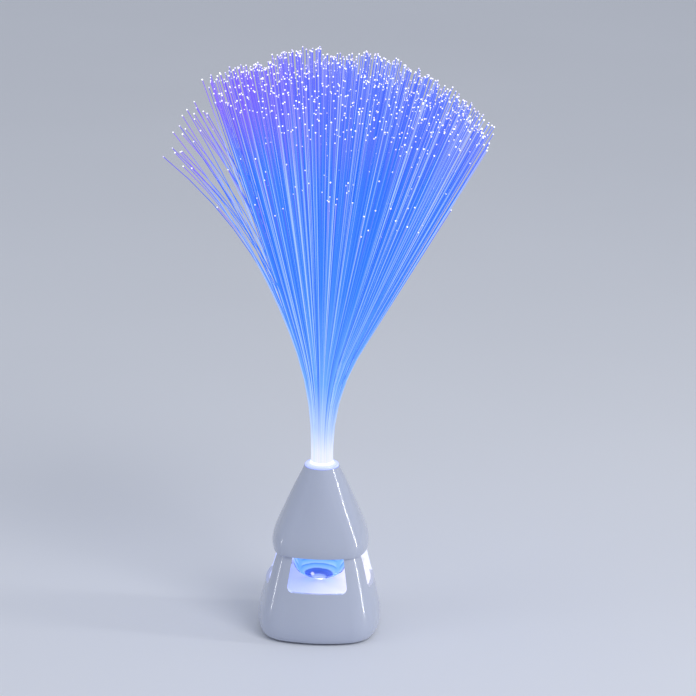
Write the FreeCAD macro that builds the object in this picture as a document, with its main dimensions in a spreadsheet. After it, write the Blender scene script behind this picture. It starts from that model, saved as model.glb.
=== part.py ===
"""Fibre optic lamp, millimetres.

A battery lamp: a glossy housing of rounded-square plan with four windows, a cone shroud over it, a clear
dome lens between the light source and the fibres, and a spray of fibres on a plug that lifts out of the cone.

The origin is on the table at the lamp's centre, +Z is up and the front window faces -Y.
"""

import FreeCAD, Part
import math
import os
import random

import Sketcher

Vector = FreeCAD.Vector
UP = Vector(0, 0, 1)
PARTS_FOLDER = "parts"
CORNERS = ((1, 1), (-1, 1), (-1, -1), (1, -1))
SIDES = (-1, 1)

SIZES = {
    # Lower housing
    "edge_height": 0.9,
    "edge_inset": 3.4,
    "belly_height": 8.6,
    "housing_margin": 10.75,
    "flank_height": 17.8,
    "flank_inset": 1.1,
    "waist_height": 40.5,
    "waist_inset": 6.5,
    "neck_height": 50.6,
    "neck_inset": 9.5,
    "deck_top": 59.4,
    "deck_inset": 12.0,
    "shell_wall": 2.2,
    "deck_thickness": 2.4,
    "frame_room": 1.6,
    "square_face_ratio": 2.0,
    "square_corner_ratio": 0.5,
    "round_face_ratio": 1.04,
    "round_corner_ratio": 0.95,
    # Windows
    "sill_height": 31.0,
    "window_head": 1.0,
    "window_top_half": 14.2,
    "window_slant_degrees": 8.2,
    "window_corner": 3.2,
    # Shroud
    "skirt_drop": 8.2,
    "rim_round": 0.5,
    "skirt_roll": 4.2,
    "skirt_inset": 7.6,
    "brow_rise": 9.8,
    "brow_inset": 8.7,
    "cone_height_share": 0.38461538461538464,
    "cone_width_share": 0.6411764705882353,
    "shoulder_height_share": 0.6923076923076923,
    "shoulder_width_share": 0.32941176470588235,
    "crown_height": 100.0,
    "shroud_wall": 1.8,
    "crown_cap": 2.5,
    # Standard screws
    "screw_radius": 1.5,
    "screw_head_radius": 2.5,
    "screw_head": 1.8,
    "small_screw_radius": 1.0,
    "small_screw_head_radius": 1.9,
    "small_screw_head": 1.4,
    "screw_bite": 7.5,
    "small_screw_bite": 2.6,
    "driver_radius": 1.1,
    "driver_depth": 0.8,
    "screw_clearance": 0.25,
    "thread_clearance": 0.05,
    "boss_wall": 1.5,
    "fit_gap": 0.3,
    # Base plate, its screws and feet
    "plate_height": 2.2,
    "plate_thickness": 2.2,
    "post_inset": 15.5,
    "post_gap": 0.7,
    "plate_boss_radius": 3.6,
    "plate_boss": 2.6,
    "base_head_seat": 4.6,
    "foot_radius": 3.2,
    "rib_thickness": 1.6,
    # Cells and battery box
    "cell_count": 3,
    "cell_radius": 5.25,
    "cell_length": 44.5,
    "cell_nub_radius": 1.9,
    "cell_nub": 0.8,
    "cell_gap": 0.4,
    "cell_lift": 0.7,
    "box_wall": 1.4,
    "box_side_gap": 0.25,
    "spring_length": 5.2,
    "spring_radius": 3.4,
    "spring_tip_radius": 2.2,
    "spring_wire": 0.6,
    "contact_thickness": 0.4,
    "contact_half": 4.0,
    # Battery door
    "door_thickness": 1.4,
    "door_inset": 0.2,
    "ledge": 1.65,
    "tongue_width": 2.0,
    "tongue_reach": 1.2,
    "tongue_lift": 0.2,
    "tongue_thickness": 0.9,
    "ear_half": 3.2,
    "ear_reach": 5.6,
    "door_boss_radius": 2.3,
    "door_boss": 5.0,
    # Circuit board
    "board_standoff": 2.0,
    "board_thickness": 1.6,
    "board_half_x": 18.0,
    "board_half_y": 13.0,
    "board_screw_x": 14.5,
    "chip_half_x": 4.5,
    "chip_half_y": 3.0,
    "chip_thickness": 1.6,
    "capacitor_radius": 2.5,
    "capacitor_length": 5.0,
    "resistor_length": 2.4,
    "resistor_width": 1.3,
    "resistor_height": 0.6,
    "resistor_pitch": 3.0,
    # Light source
    "floor_thickness": 1.6,
    "floor_bore_radius": 5.2,
    "lamp_standoff": 3.6,
    "lamp_screw_x": 8.2,
    "lamp_board_radius": 11.0,
    "lamp_package_half": 2.6,
    "lamp_package": 1.8,
    "lamp_dome_radius": 2.1,
    # Lens, its frame and the reflector
    "dome_radius": 15.8,
    "lens_clearance": 3.8,
    "dome_flange": 2.0,
    "lens_flange": 1.2,
    "groove_radius": 0.9,
    "frame_lip": 1.0,
    "frame_inset": 1.8,
    "frame_flange": 1.6,
    "shroud_screw_inset": 8.4,
    "reflector_wall": 1.2,
    "reflector_foot": 1.7,
    "reflector_neck": 4.0,
    # Socket and plug
    "shaft_radius": 8.0,
    "shaft_gap": 0.3,
    "shaft_length": 30.0,
    "socket_wall": 1.2,
    "socket_height": 66.0,
    "socket_flange": 2.0,
    "socket_screw_x": 13.0,
    "collar_radius": 10.0,
    "collar_thickness": 1.3,
    "collar_round": 0.5,
    "collar_groove": 0.5,
    "collar_ring_radius": 8.5,
    "bundle_radius": 6.65,
    "bundle_gap": 0.1,
    "bundle_stand": 1.6,
    # Switch
    "switch_height": 13.0,
    "switch_depth": 6.0,
    "switch_bracket": 1.0,
    "switch_screw_x": 9.6,
    "bracket_half_x": 12.2,
    "bracket_half_z": 3.2,
    "can_half_x": 5.6,
    "can_half_z": 3.0,
    "can_depth": 4.5,
    "knob_half_x": 1.9,
    "knob_half_z": 1.9,
    "knob_reach": 1.8,
    "knob_travel": 4.0,
    "knob_gap": 0.35,
    # Wires
    "wire_radius": 0.55,
    "wire_bend": 1.3,
    # Fibres
    "fibre_radius": 0.375,
    "fibre_pitch": 0.89,
    "fibre_rings": 7,
    "fibre_length": 245.0,
    "fibre_upright": 8.0,
    "fibre_bend_length": 62.0,
    "spread_degrees": 24.7,
    "lean_degrees": 5.0,
    "stray_droop_degrees": 26.0,
    "dome_drop": 0.08,
}

document = FreeCAD.newDocument("fibre_optic_lamp")
sheet = document.addObject("Spreadsheet::Sheet", "Sizes")
for row, (size_name, size_value) in enumerate(SIZES.items(), start=1):
    sheet.set(f"A{row}", size_name)
    sheet.set(f"B{row}", str(size_value))
    sheet.setAlias(f"B{row}", size_name)
document.recompute()

sub_parts = []


class Size:
    """A length worked out from the sheet: its value now, and the expression that keeps it up to date."""

    def __init__(self, value, text):
        self.value = value
        self.text = text

    def __add__(self, other):
        other = as_size(other)
        return Size(self.value + other.value, f"({self.text} + {other.text})")

    def __radd__(self, other):
        return as_size(other) + self

    def __sub__(self, other):
        other = as_size(other)
        return Size(self.value - other.value, f"({self.text} - {other.text})")

    def __rsub__(self, other):
        return as_size(other) - self

    def __mul__(self, other):
        other = as_size(other)
        return Size(self.value * other.value, f"({self.text} * {other.text})")

    def __rmul__(self, other):
        return as_size(other) * self

    def __truediv__(self, other):
        other = as_size(other)
        return Size(self.value / other.value, f"({self.text} / {other.text})")

    def __neg__(self):
        return 0 - self


def as_size(value):
    """A plain number as a Size."""
    return value if isinstance(value, Size) else Size(float(value), f"{float(value):.9f}")


def size(name):
    """A cell of the sheet as a Size."""
    return Size(float(sheet.get(name)), f"Sizes.{name}")


def bind(thing, **properties):
    """Bind properties of an object to sizes. Two underscores stand for a point in the property's path."""
    for key, value in properties.items():
        thing.setExpression(key.replace("__", "."), as_size(value).text)


def move(thing, x=0, y=0, z=0):
    """Bind an object's place."""
    bind(thing, Placement__Base__x=x, Placement__Base__y=y, Placement__Base__z=z)
    return thing


def name_for(label):
    """A free object name."""
    return label.replace(" ", "_")


def box(x_low, x_high, y_low, y_high, z_low, z_high, label="block"):
    """A block between six planes."""
    block = document.addObject("Part::Box", name_for(label))
    bind(block, Length=x_high - x_low, Width=y_high - y_low, Height=z_high - z_low)
    return move(block, x_low, y_low, z_low)


def cylinder(radius, z_low, z_high, x=0, y=0, label="post"):
    """An upright cylinder."""
    post = document.addObject("Part::Cylinder", name_for(label))
    bind(post, Radius=radius, Height=as_size(z_high) - z_low)
    return move(post, x, y, z_low)


def cylinder_along_x(radius, x_low, x_high, y, z, label="bar"):
    """A cylinder that lies along X."""
    bar = cylinder(radius, x_low, x_high, label=label)
    bar.Placement.Rotation = FreeCAD.Rotation(Vector(0, 1, 0), 90)
    return move(bar, x_low, y, z)


def cylinder_along_y(radius, y_low, y_high, x, z, label="bar"):
    """A cylinder that lies along Y."""
    bar = cylinder(radius, y_low, y_high, label=label)
    bar.Placement.Rotation = FreeCAD.Rotation(Vector(1, 0, 0), -90)
    return move(bar, x, y_low, z)


def cone(low_radius, high_radius, z_low, z_high, label="cone"):
    """An upright cone frustum on the axis."""
    frustum = document.addObject("Part::Cone", name_for(label))
    bind(frustum, Radius1=low_radius, Radius2=high_radius, Height=as_size(z_high) - z_low)
    return move(frustum, 0, 0, z_low)


def ball(radius, z, label="ball"):
    """A sphere on the axis."""
    sphere = document.addObject("Part::Sphere", name_for(label))
    bind(sphere, Radius=radius)
    return move(sphere, 0, 0, z)


def torus(ring_radius, tube_radius, z, label="ring"):
    """A ring about the axis."""
    ring = document.addObject("Part::Torus", name_for(label))
    bind(ring, Radius1=ring_radius, Radius2=tube_radius)
    return move(ring, 0, 0, z)


def fuse(things, label="joined"):
    """One solid from several."""
    joined = document.addObject("Part::MultiFuse", name_for(label))
    joined.Shapes = list(things)
    joined.Refine = False
    return joined


def common(first, second, label="shared"):
    """What two objects share."""
    shared = document.addObject("Part::MultiCommon", name_for(label))
    shared.Shapes = [first, second]
    return shared


def cut(base, tools, label="cut"):
    """An object less its tools."""
    tool = tools[0] if len(tools) == 1 else fuse(tools, "tools")
    difference = document.addObject("Part::Cut", name_for(label))
    difference.Base = base
    difference.Tool = tool
    return difference


def group(things, label):
    """Separate solids kept together as one sub-part."""
    together = document.addObject("Part::Compound", name_for(label))
    together.Links = list(things)
    return together


def sub_part(node, thing):
    """Name an object as one of the lamp's sub-parts."""
    thing.Label = node
    sub_parts.append(thing)
    return thing


def rounded_square(z, half, inset=0, roundness=0.0, label="outline"):
    """A sketch of the lamp's plan outline at one height.

    Four shallow arcs are its faces and four tighter arcs its corners, each tangent to the next. The outline
    is that of half-width half, moved in by inset. Roundness 0 is the housing's rounded square and 1 is
    the round crown.
    """
    half, inset = as_size(half), as_size(inset)
    face = size("square_face_ratio") * (1 - roundness) + size("round_face_ratio") * roundness
    corner = size("square_corner_ratio") * (1 - roundness) + size("round_corner_ratio") * roundness
    reach = half - inset
    face_radius = face * half - inset
    corner_radius = corner * half - inset
    back = face_radius - reach

    gap = face_radius.value - corner_radius.value
    place = (math.sqrt(2 * gap**2 - back.value**2) - back.value) / 2
    swing = math.atan2(place, place + back.value)

    sketch = document.addObject("Sketcher::SketchObject", name_for(label))
    bind(sketch, Placement__Base__z=z)
    arcs = []
    for quarter in range(4):
        turn = quarter * math.pi / 2
        ahead = Vector(math.cos(turn), math.sin(turn), 0)
        aside = Vector(-math.sin(turn), math.cos(turn), 0)
        face_circle = Part.Circle(ahead * -back.value, UP, face_radius.value)
        corner_circle = Part.Circle((ahead + aside) * place, UP, corner_radius.value)
        arcs.append(Part.ArcOfCircle(face_circle, turn - swing, turn + swing))
        arcs.append(Part.ArcOfCircle(corner_circle, turn + swing, turn + math.pi / 2 - swing))
    sketch.addGeometry(arcs, False)
    rules = [Sketcher.Constraint("Tangent", arc, 2, (arc + 1) % 8, 1) for arc in range(8)]
    for arc in (2, 4, 6):
        rules.append(Sketcher.Constraint("Equal", 0, arc))
        rules.append(Sketcher.Constraint("Equal", 1, arc + 1))
    rules += [Sketcher.Constraint("PointOnObject", arc, 3, -1) for arc in (0, 4)]
    rules += [Sketcher.Constraint("PointOnObject", arc, 3, -2) for arc in (2, 6)]
    sketch.addConstraint(rules)
    measures = (
        ("face", Sketcher.Constraint("Radius", 0, face_radius.value), face_radius),
        ("corner", Sketcher.Constraint("Radius", 1, corner_radius.value), corner_radius),
        ("right", Sketcher.Constraint("DistanceX", 0, 3, -1, 1, back.value), back),
        ("rear", Sketcher.Constraint("DistanceY", 2, 3, -1, 1, back.value), back),
        ("left", Sketcher.Constraint("DistanceX", -1, 1, 4, 3, back.value), back),
        ("front", Sketcher.Constraint("DistanceY", -1, 1, 6, 3, back.value), back),
    )
    for name, rule, value in measures:
        sketch.renameConstraint(sketch.addConstraint(rule), name)
        sketch.setExpression(f"Constraints.{name}", value.text)
    return sketch


def loft(sections, label="loft"):
    """A smooth solid through plan outlines, lowest first."""
    solid = document.addObject("Part::Loft", name_for(label))
    solid.Sections = sections
    solid.Solid = True
    solid.Ruled = False
    return solid


def slab(z_low, z_high, half, inset=0, label="slab"):
    """A straight-sided plate with the rounded-square outline."""
    plate = document.addObject("Part::Extrusion", name_for(label))
    plate.Base = rounded_square(z_low, half, inset)
    plate.DirMode = "Custom"
    plate.Dir = UP
    plate.Solid = True
    bind(plate, LengthFwd=as_size(z_high) - z_low)
    return plate


def turned(points, label="turned"):
    """A solid turned about Z from an outline of (radius, height) points."""
    body = document.addObject("PartDesign::Body", name_for(label))
    plane = next(f for f in body.Origin.OriginFeatures if f.Role == "XZ_Plane")
    sketch = body.newObject("Sketcher::SketchObject", name_for(label + " outline"))
    sketch.AttachmentSupport = [(plane, "")]
    sketch.MapMode = "FlatFace"
    points = [(as_size(r), as_size(z)) for r, z in points]
    corners = [Vector(r.value, z.value, 0) for r, z in points]
    count = len(corners)
    sketch.addGeometry([Part.LineSegment(corners[i], corners[(i + 1) % count]) for i in range(count)], False)
    sketch.addConstraint([Sketcher.Constraint("Coincident", i, 2, (i + 1) % count, 1) for i in range(count)])
    for i, (r, z) in enumerate(points):
        if r.value == 0:
            sketch.addConstraint(Sketcher.Constraint("PointOnObject", i, 1, -2))
        else:
            rule = Sketcher.Constraint("DistanceX", -1, 1, i, 1, r.value)
            sketch.renameConstraint(sketch.addConstraint(rule), f"r{i}")
            sketch.setExpression(f"Constraints.r{i}", r.text)
        rule = Sketcher.Constraint("DistanceY", -1, 1, i, 1, z.value)
        sketch.renameConstraint(sketch.addConstraint(rule), f"z{i}")
        sketch.setExpression(f"Constraints.z{i}", z.text)
    revolution = body.newObject("PartDesign::Revolution", name_for(label + " turn"))
    revolution.Profile = sketch
    revolution.ReferenceAxis = (sketch, ["V_Axis"])
    revolution.Angle = 360
    sketch.Visibility = False
    return body


def screw(x, y, seat, bite, up=True, radius=None, head_radius=None, head=None):
    """A cross-head screw. Its head's inner face is at seat, and its shank points up or down from there."""
    radius = radius or size("screw_radius")
    head_radius = head_radius or size("screw_head_radius")
    head = head or size("screw_head")
    depth = size("driver_depth")
    if up:
        shank = cylinder(radius, seat, seat + bite, x, y)
        cap = cylinder(head_radius, seat - head, seat, x, y)
        recess_low, recess_high = seat - head, seat - head + depth
    else:
        shank = cylinder(radius, seat - bite, seat, x, y)
        cap = cylinder(head_radius, seat, seat + head, x, y)
        recess_low, recess_high = seat + head - depth, seat + head
    arm = size("driver_radius") * head_radius / size("screw_head_radius")
    blade = arm / 3
    cross = [
        box(x - arm, x + arm, y - blade, y + blade, recess_low, recess_high),
        box(x - blade, x + blade, y - arm, y + arm, recess_low, recess_high),
    ]
    return cut(fuse([shank, cap]), cross, "screw")


def small_screw(x, y, seat, bite, up=True):
    """A small screw for the boards."""
    sizes = [size("small_screw_radius"), size("small_screw_head_radius"), size("small_screw_head")]
    return screw(x, y, seat, bite, up, *sizes)


# Shared places, each worked out once

plate_top = size("plate_height") + size("plate_thickness")
post_foot = plate_top + size("plate_boss")
floor_low = size("sill_height") - size("floor_thickness")
deck_low = size("deck_top") - size("deck_thickness")
frame_top = size("deck_top") + size("frame_flange")
window_top = deck_low - size("window_head")
rim_height = size("deck_top") - size("skirt_drop")
skirt_height = rim_height + size("skirt_roll")
brow_height = rim_height + size("brow_rise")
cone_rise = size("crown_height") - brow_height
cone_height = brow_height + cone_rise * size("cone_height_share")
shoulder_height = brow_height + cone_rise * size("shoulder_height_share")

door_low = size("plate_height") + size("door_inset")
door_top = door_low + size("door_thickness")
cell_pitch = 2 * size("cell_radius") + size("cell_gap")
cell_height = door_top + size("cell_lift") + size("cell_radius")
box_half_x = size("cell_length") / 2 + size("spring_length") / 2 + size("contact_thickness")
box_half_y = cell_pitch * (size("cell_count") - 1) / 2 + size("cell_radius") + size("box_side_gap")
box_ceiling = cell_height + size("cell_radius") + size("cell_lift")
box_top = box_ceiling + size("box_wall")
opening_half_x = box_half_x - size("ledge")
door_screw_x = box_half_x + size("box_wall")

belly_half = box_half_x + size("housing_margin")
flank_half = belly_half - size("flank_inset")
waist_half = belly_half - size("waist_inset")
neck_half = belly_half - size("neck_inset")
deck_half = belly_half - size("deck_inset")
skirt_half = belly_half - size("skirt_inset")
brow_half = belly_half - size("brow_inset")
crown_half = size("collar_radius") + size("fit_gap")
cone_half = crown_half + (brow_half - crown_half) * size("cone_width_share")
shoulder_half = crown_half + (brow_half - crown_half) * size("shoulder_width_share")
post_x = belly_half - size("post_inset")
post_y = box_half_y + size("box_wall") + size("screw_radius") + size("boss_wall") + size("post_gap")
switch_plane = belly_half - size("switch_depth")
frame_flange_half = deck_half - size("frame_inset")
shroud_screw_place = deck_half - size("shroud_screw_inset")

board_low = box_top + size("board_standoff")
board_top = board_low + size("board_thickness")
lamp_board_top = floor_low - size("lamp_standoff")
lamp_board_low = lamp_board_top - size("board_thickness")
lamp_top = lamp_board_top + size("lamp_package") + size("lamp_dome_radius")
dome_height = lamp_top + size("lens_clearance") + size("dome_radius")
dome_flange_radius = size("dome_radius") + size("lens_flange")
deck_bore_radius = dome_flange_radius + size("frame_room")

shaft_low = size("crown_height") - size("shaft_length")
socket_radius = size("shaft_radius") + size("shaft_gap")
socket_outer = socket_radius + size("socket_wall")
fibre_foot = size("crown_height") + size("collar_thickness") + size("bundle_stand")

pilot_radius = size("screw_radius") + size("thread_clearance")
screw_hole_radius = size("screw_radius") + size("screw_clearance")
small_pilot_radius = size("small_screw_radius") + size("thread_clearance")
small_hole_radius = size("small_screw_radius") + size("screw_clearance")
small_boss_radius = size("small_screw_radius") + size("boss_wall")


def wall_half(z):
    """The housing's outer half-width on its flank at a height."""
    rise = size("waist_height") - size("flank_height")
    narrowing = flank_half - waist_half
    return flank_half - narrowing * (z - size("flank_height")) / rise


# Outer shells


def housing_sections(inset, top, top_half):
    """Outlines of the lower housing from its rolled lower edge to its top."""
    sections = []
    rise = size("belly_height") - size("edge_height")
    for degrees in (0, 30, 60, 90):
        angle = math.radians(degrees)
        z = size("belly_height") - rise * math.cos(angle)
        half = belly_half - size("edge_inset") * (1 - math.sin(angle))
        sections.append(rounded_square(z, half, inset))
    sections.append(rounded_square(size("flank_height"), flank_half, inset))
    sections.append(rounded_square(size("waist_height"), waist_half, inset))
    sections.append(rounded_square(size("neck_height"), neck_half, inset))
    sections.append(rounded_square(top, top_half, inset))
    return sections


def window_tool(degrees):
    """A prism that cuts two facing windows: level sill with round corners, sides that lean inwards."""
    low, high, top_half = size("sill_height"), window_top, size("window_top_half")
    slant = math.radians(size("window_slant_degrees").value)
    corner = size("window_corner")
    sill_half = top_half.value + (high.value - low.value) * math.tan(slant)
    tangent = corner.value * math.tan((math.pi / 2 - slant) / 2)
    flat = sill_half - tangent
    centre = Vector(flat, low.value + corner.value, 0)
    rise = Vector(-math.sin(slant), math.cos(slant), 0)
    side = Vector(sill_half, low.value, 0) + rise * tangent

    sketch = document.addObject("Sketcher::SketchObject", "window_outline")
    sketch.Placement = FreeCAD.Placement(Vector(0, 0, 0), FreeCAD.Rotation(Vector(1, 0, 0), 90))
    mirrored = Vector(-centre.x, centre.y, 0)
    sketch.addGeometry(
        [
            Part.LineSegment(Vector(-flat, low.value, 0), Vector(flat, low.value, 0)),
            Part.ArcOfCircle(Part.Circle(centre, UP, corner.value), -math.pi / 2, slant),
            Part.LineSegment(side, Vector(top_half.value, high.value, 0)),
            Part.LineSegment(Vector(top_half.value, high.value, 0), Vector(-top_half.value, high.value, 0)),
            Part.LineSegment(Vector(-top_half.value, high.value, 0), Vector(-side.x, side.y, 0)),
            Part.ArcOfCircle(Part.Circle(mirrored, UP, corner.value), math.pi - slant, 1.5 * math.pi),
        ],
        False,
    )
    sketch.addConstraint(
        [
            Sketcher.Constraint("Tangent", 0, 2, 1, 1),
            Sketcher.Constraint("Tangent", 1, 2, 2, 1),
            Sketcher.Constraint("Coincident", 2, 2, 3, 1),
            Sketcher.Constraint("Coincident", 3, 2, 4, 1),
            Sketcher.Constraint("Tangent", 4, 2, 5, 1),
            Sketcher.Constraint("Tangent", 5, 2, 0, 1),
            Sketcher.Constraint("Horizontal", 0),
            Sketcher.Constraint("Symmetric", 2, 2, 4, 1, -2),
            Sketcher.Constraint("Equal", 1, 5),
        ]
    )
    measures = (
        ("sill", Sketcher.Constraint("DistanceY", -1, 1, 0, 1, low.value), low),
        ("top", Sketcher.Constraint("DistanceY", -1, 1, 2, 2, high.value), high),
        ("half", Sketcher.Constraint("DistanceX", -1, 1, 2, 2, top_half.value), top_half),
        ("corner", Sketcher.Constraint("Radius", 1, corner.value), corner),
    )
    for name, rule, value in measures:
        sketch.renameConstraint(sketch.addConstraint(rule), name)
        sketch.setExpression(f"Constraints.{name}", value.text)
    for name, line in (("right_slant", 2), ("left_slant", 4)):
        turn = math.pi / 2 + slant if line == 2 else math.pi * 1.5 - slant
        rule = Sketcher.Constraint("Angle", line, turn)
        sketch.renameConstraint(sketch.addConstraint(rule), name)
        lean = "90 deg + Sizes.window_slant_degrees * 1 deg"
        opposite = "270 deg - Sizes.window_slant_degrees * 1 deg"
        sketch.setExpression(f"Constraints.{name}", lean if line == 2 else opposite)

    prism = document.addObject("Part::Extrusion", "window_prism")
    prism.Base = sketch
    prism.DirMode = "Custom"
    prism.Dir = Vector(0, -1, 0)
    prism.Solid = True
    prism.Symmetric = True
    bind(prism, LengthFwd=4 * belly_half)
    prism.Placement.Rotation = FreeCAD.Rotation(UP, degrees)
    return prism


def corner_rib(x_side, y_side, z_low, z_high):
    """A web from a corner post out past the housing wall."""
    thickness = size("rib_thickness")
    web = document.addObject("Part::Box", "web")
    bind(web, Length=belly_half, Width=thickness, Height=z_high - z_low)
    turn = math.atan2(y_side, x_side)
    web.Placement.Rotation = FreeCAD.Rotation(UP, math.degrees(turn))
    aside = thickness / 2
    x = x_side * post_x + aside * math.sin(turn)
    y = y_side * post_y - aside * math.cos(turn)
    return move(web, x, y, z_low)


def make_lower_housing():
    """The lower shell: four windows, a deck on top, four corner posts and two switch bosses."""
    outer = loft(housing_sections(0, size("deck_top"), deck_half), "housing_outside")
    rise = size("deck_top") - size("neck_height")
    slope = (neck_half - deck_half) / rise
    deck_low_half = deck_half + slope * size("deck_thickness")
    inner = loft(housing_sections(size("shell_wall"), deck_low, deck_low_half), "housing_inside")
    deck_bore = cylinder(deck_bore_radius, deck_low, size("deck_top"))
    shell = cut(outer, [inner, deck_bore, window_tool(0), window_tool(90)], "shell")

    inside_pieces = []
    pilots = []
    post_radius = size("screw_radius") + size("boss_wall")
    for x_side, y_side in CORNERS:
        x, y = x_side * post_x, y_side * post_y
        inside_pieces.append(cylinder(post_radius, post_foot, floor_low, x, y))
        inside_pieces.append(corner_rib(x_side, y_side, post_foot, floor_low))
        pilot_top = size("base_head_seat") + size("screw_bite") + size("boss_wall")
        pilots.append(cylinder(pilot_radius, post_foot, pilot_top, x, y))
        floor_pilot = floor_low - size("screw_bite")
        pilots.append(cylinder(pilot_radius, floor_pilot, floor_low, x, y))
        hole = shroud_screw_place
        pilots.append(cylinder(screw_hole_radius, deck_low, size("deck_top"), x_side * hole, y_side * hole))
    for side in SIDES:
        x = side * size("switch_screw_x")
        face, wall = switch_plane, belly_half
        inside_pieces.append(cylinder_along_y(small_boss_radius, face, wall, x, size("switch_height")))
        depth = face + size("small_screw_bite")
        pilots.append(cylinder_along_y(small_pilot_radius, face, depth, x, size("switch_height")))

    half_x = size("knob_travel") / 2 + size("knob_half_x") + size("knob_gap")
    half_z = size("knob_half_z") + size("knob_gap")
    slot_low, slot_high = size("switch_height") - half_z, size("switch_height") + half_z
    slot = box(-half_x, half_x, switch_plane, belly_half + size("knob_reach"), slot_low, slot_high)
    shared = common(fuse(inside_pieces), outer_copy_of(outer))
    return sub_part("lower_housing", cut(fuse([shell, shared]), pilots + [slot], "lower_housing"))


def outer_copy_of(thing):
    """A second use of one object's shape, which follows it."""
    copy = document.addObject("Part::Compound", "same_outside")
    copy.Links = [thing]
    return copy


def make_shroud_cone():
    """The upper shell: a skirt over the housing's top, and a cone that turns from square to round."""
    rim_half = skirt_half - size("rim_round")
    cone_lean = (shoulder_half - crown_half) / (size("crown_height") - shoulder_height)
    cap_half = crown_half + cone_lean * size("crown_cap")
    cap_low = size("crown_height") - size("crown_cap")
    wall = size("shroud_wall")
    levels = (
        (skirt_height, skirt_half, 0),
        (brow_height, brow_half, 0),
        (cone_height, cone_half, 0.4),
        (shoulder_height, shoulder_half, 0.75),
    )

    outside = [rounded_square(rim_height, rim_half)]
    inside = [rounded_square(rim_height, skirt_half, wall)]
    for z, half, rounding in levels:
        outside.append(rounded_square(z, half, 0, rounding))
        inside.append(rounded_square(z, half, wall, rounding))
    outside.append(rounded_square(size("crown_height"), crown_half, 0, 1))
    inside.append(rounded_square(cap_low, cap_half, wall, 1))
    outer = loft(outside, "shroud_outside")
    shell = cut(outer, [loft(inside, "shroud_inside")], "shroud_shell")

    bosses = []
    holes = [cylinder(socket_radius, cap_low, size("crown_height"))]
    place = shroud_screw_place
    boss_radius = size("screw_radius") + size("boss_wall")
    for x_side, y_side in CORNERS:
        x, y = x_side * place, y_side * place
        bosses.append(cylinder(boss_radius, frame_top, cap_low, x, y))
        pilot_top = deck_low + size("screw_bite") + size("boss_wall")
        holes.append(cylinder(pilot_radius, frame_top, pilot_top, x, y))
    socket_boss_foot = size("socket_height") + size("socket_flange")
    for side in SIDES:
        x = side * size("socket_screw_x")
        bosses.append(cylinder(small_boss_radius, socket_boss_foot, cap_low, x, 0))
        holes.append(cylinder(small_pilot_radius, socket_boss_foot, socket_boss_foot + size("screw_bite"), x, 0))
    shared = common(fuse(bosses), outer_copy_of(outer))
    return sub_part("shroud_cone", cut(fuse([shell, shared]), holes, "shroud_cone"))


# Base plate, battery box and door


def make_base_plate():
    """The bottom plate with the battery box on it."""
    half = belly_half - size("edge_inset")
    plate = slab(size("plate_height"), plate_top, half, size("shell_wall") + size("fit_gap"))
    wall = size("box_wall")
    half_x, half_y = box_half_x, box_half_y
    shell = box(-half_x - wall, half_x + wall, -half_y - wall, half_y + wall, plate_top, box_top)
    pieces = [plate, shell]
    holes = [
        box(-half_x, half_x, -half_y, half_y, plate_top, box_ceiling),
        box(-opening_half_x, opening_half_x, -half_y, half_y, size("plate_height"), plate_top),
    ]
    for x_side, y_side in CORNERS:
        x, y = x_side * post_x, y_side * post_y
        pieces.append(cylinder(size("plate_boss_radius"), plate_top, post_foot, x, y))
        head_hole = size("screw_head_radius") + size("screw_clearance")
        holes.append(cylinder(head_hole, size("plate_height"), size("base_head_seat"), x, y))
        holes.append(cylinder(screw_hole_radius, size("base_head_seat"), post_foot, x, y))
    for side in SIDES:
        x = side * size("board_screw_x")
        pieces.append(cylinder(small_boss_radius, box_top, board_low, x, 0))
        holes.append(cylinder(small_pilot_radius, box_ceiling + wall / 2, board_low, x, 0))

    boss_top = plate_top + size("door_boss")
    pieces.append(cylinder(size("door_boss_radius"), plate_top, boss_top, door_screw_x, 0))
    pilot_top = plate_top + size("small_screw_bite")
    holes.append(cylinder(small_hole_radius, size("plate_height"), pilot_top, door_screw_x, 0))
    ear_end = opening_half_x + size("ear_reach") + size("fit_gap")
    ear_half = size("ear_half") + size("fit_gap")
    holes.append(box(opening_half_x, ear_end, -ear_half, ear_half, size("plate_height"), door_top))
    return sub_part("base_plate", cut(fuse(pieces), holes, "base_plate"))


def make_battery_door():
    """The door under the cells, with two tongues on its hinge edge and an ear for its screw."""
    gap = size("fit_gap")
    half_x, half_y = opening_half_x - gap, box_half_y - gap
    panel = box(-half_x, half_x, -half_y, half_y, door_low, door_top)
    ear = box(half_x, opening_half_x + size("ear_reach"), -size("ear_half"), size("ear_half"), door_low, door_top)
    pieces = [panel, ear]
    tongue_low = plate_top + size("tongue_lift")
    tongue_top = tongue_low + size("tongue_thickness")
    for side in SIDES:
        y = side * cell_pitch / 2
        low, high = y - size("tongue_width") / 2, y + size("tongue_width") / 2
        root = -half_x + size("tongue_reach")
        pieces.append(box(-half_x, root, low, high, door_top, tongue_top))
        pieces.append(box(-opening_half_x - size("tongue_reach"), root, low, high, tongue_low, tongue_top))
    hole = cylinder(small_hole_radius, door_low, door_top, door_screw_x, 0)
    return sub_part("battery_door", cut(fuse(pieces), [hole], "battery_door"))


def make_door_screw():
    """The captive screw that holds the door shut."""
    bite = plate_top + size("small_screw_bite") - door_low - size("thread_clearance")
    return sub_part("door_screw", small_screw(door_screw_x, 0, door_low, bite))


def cell_rows():
    """Each cell's number, its middle in Y and the side its button faces."""
    count = int(size("cell_count").value)
    for number in range(count):
        yield number + 1, cell_pitch * (number - (count - 1) / 2), 1 if number % 2 == 0 else -1


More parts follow.
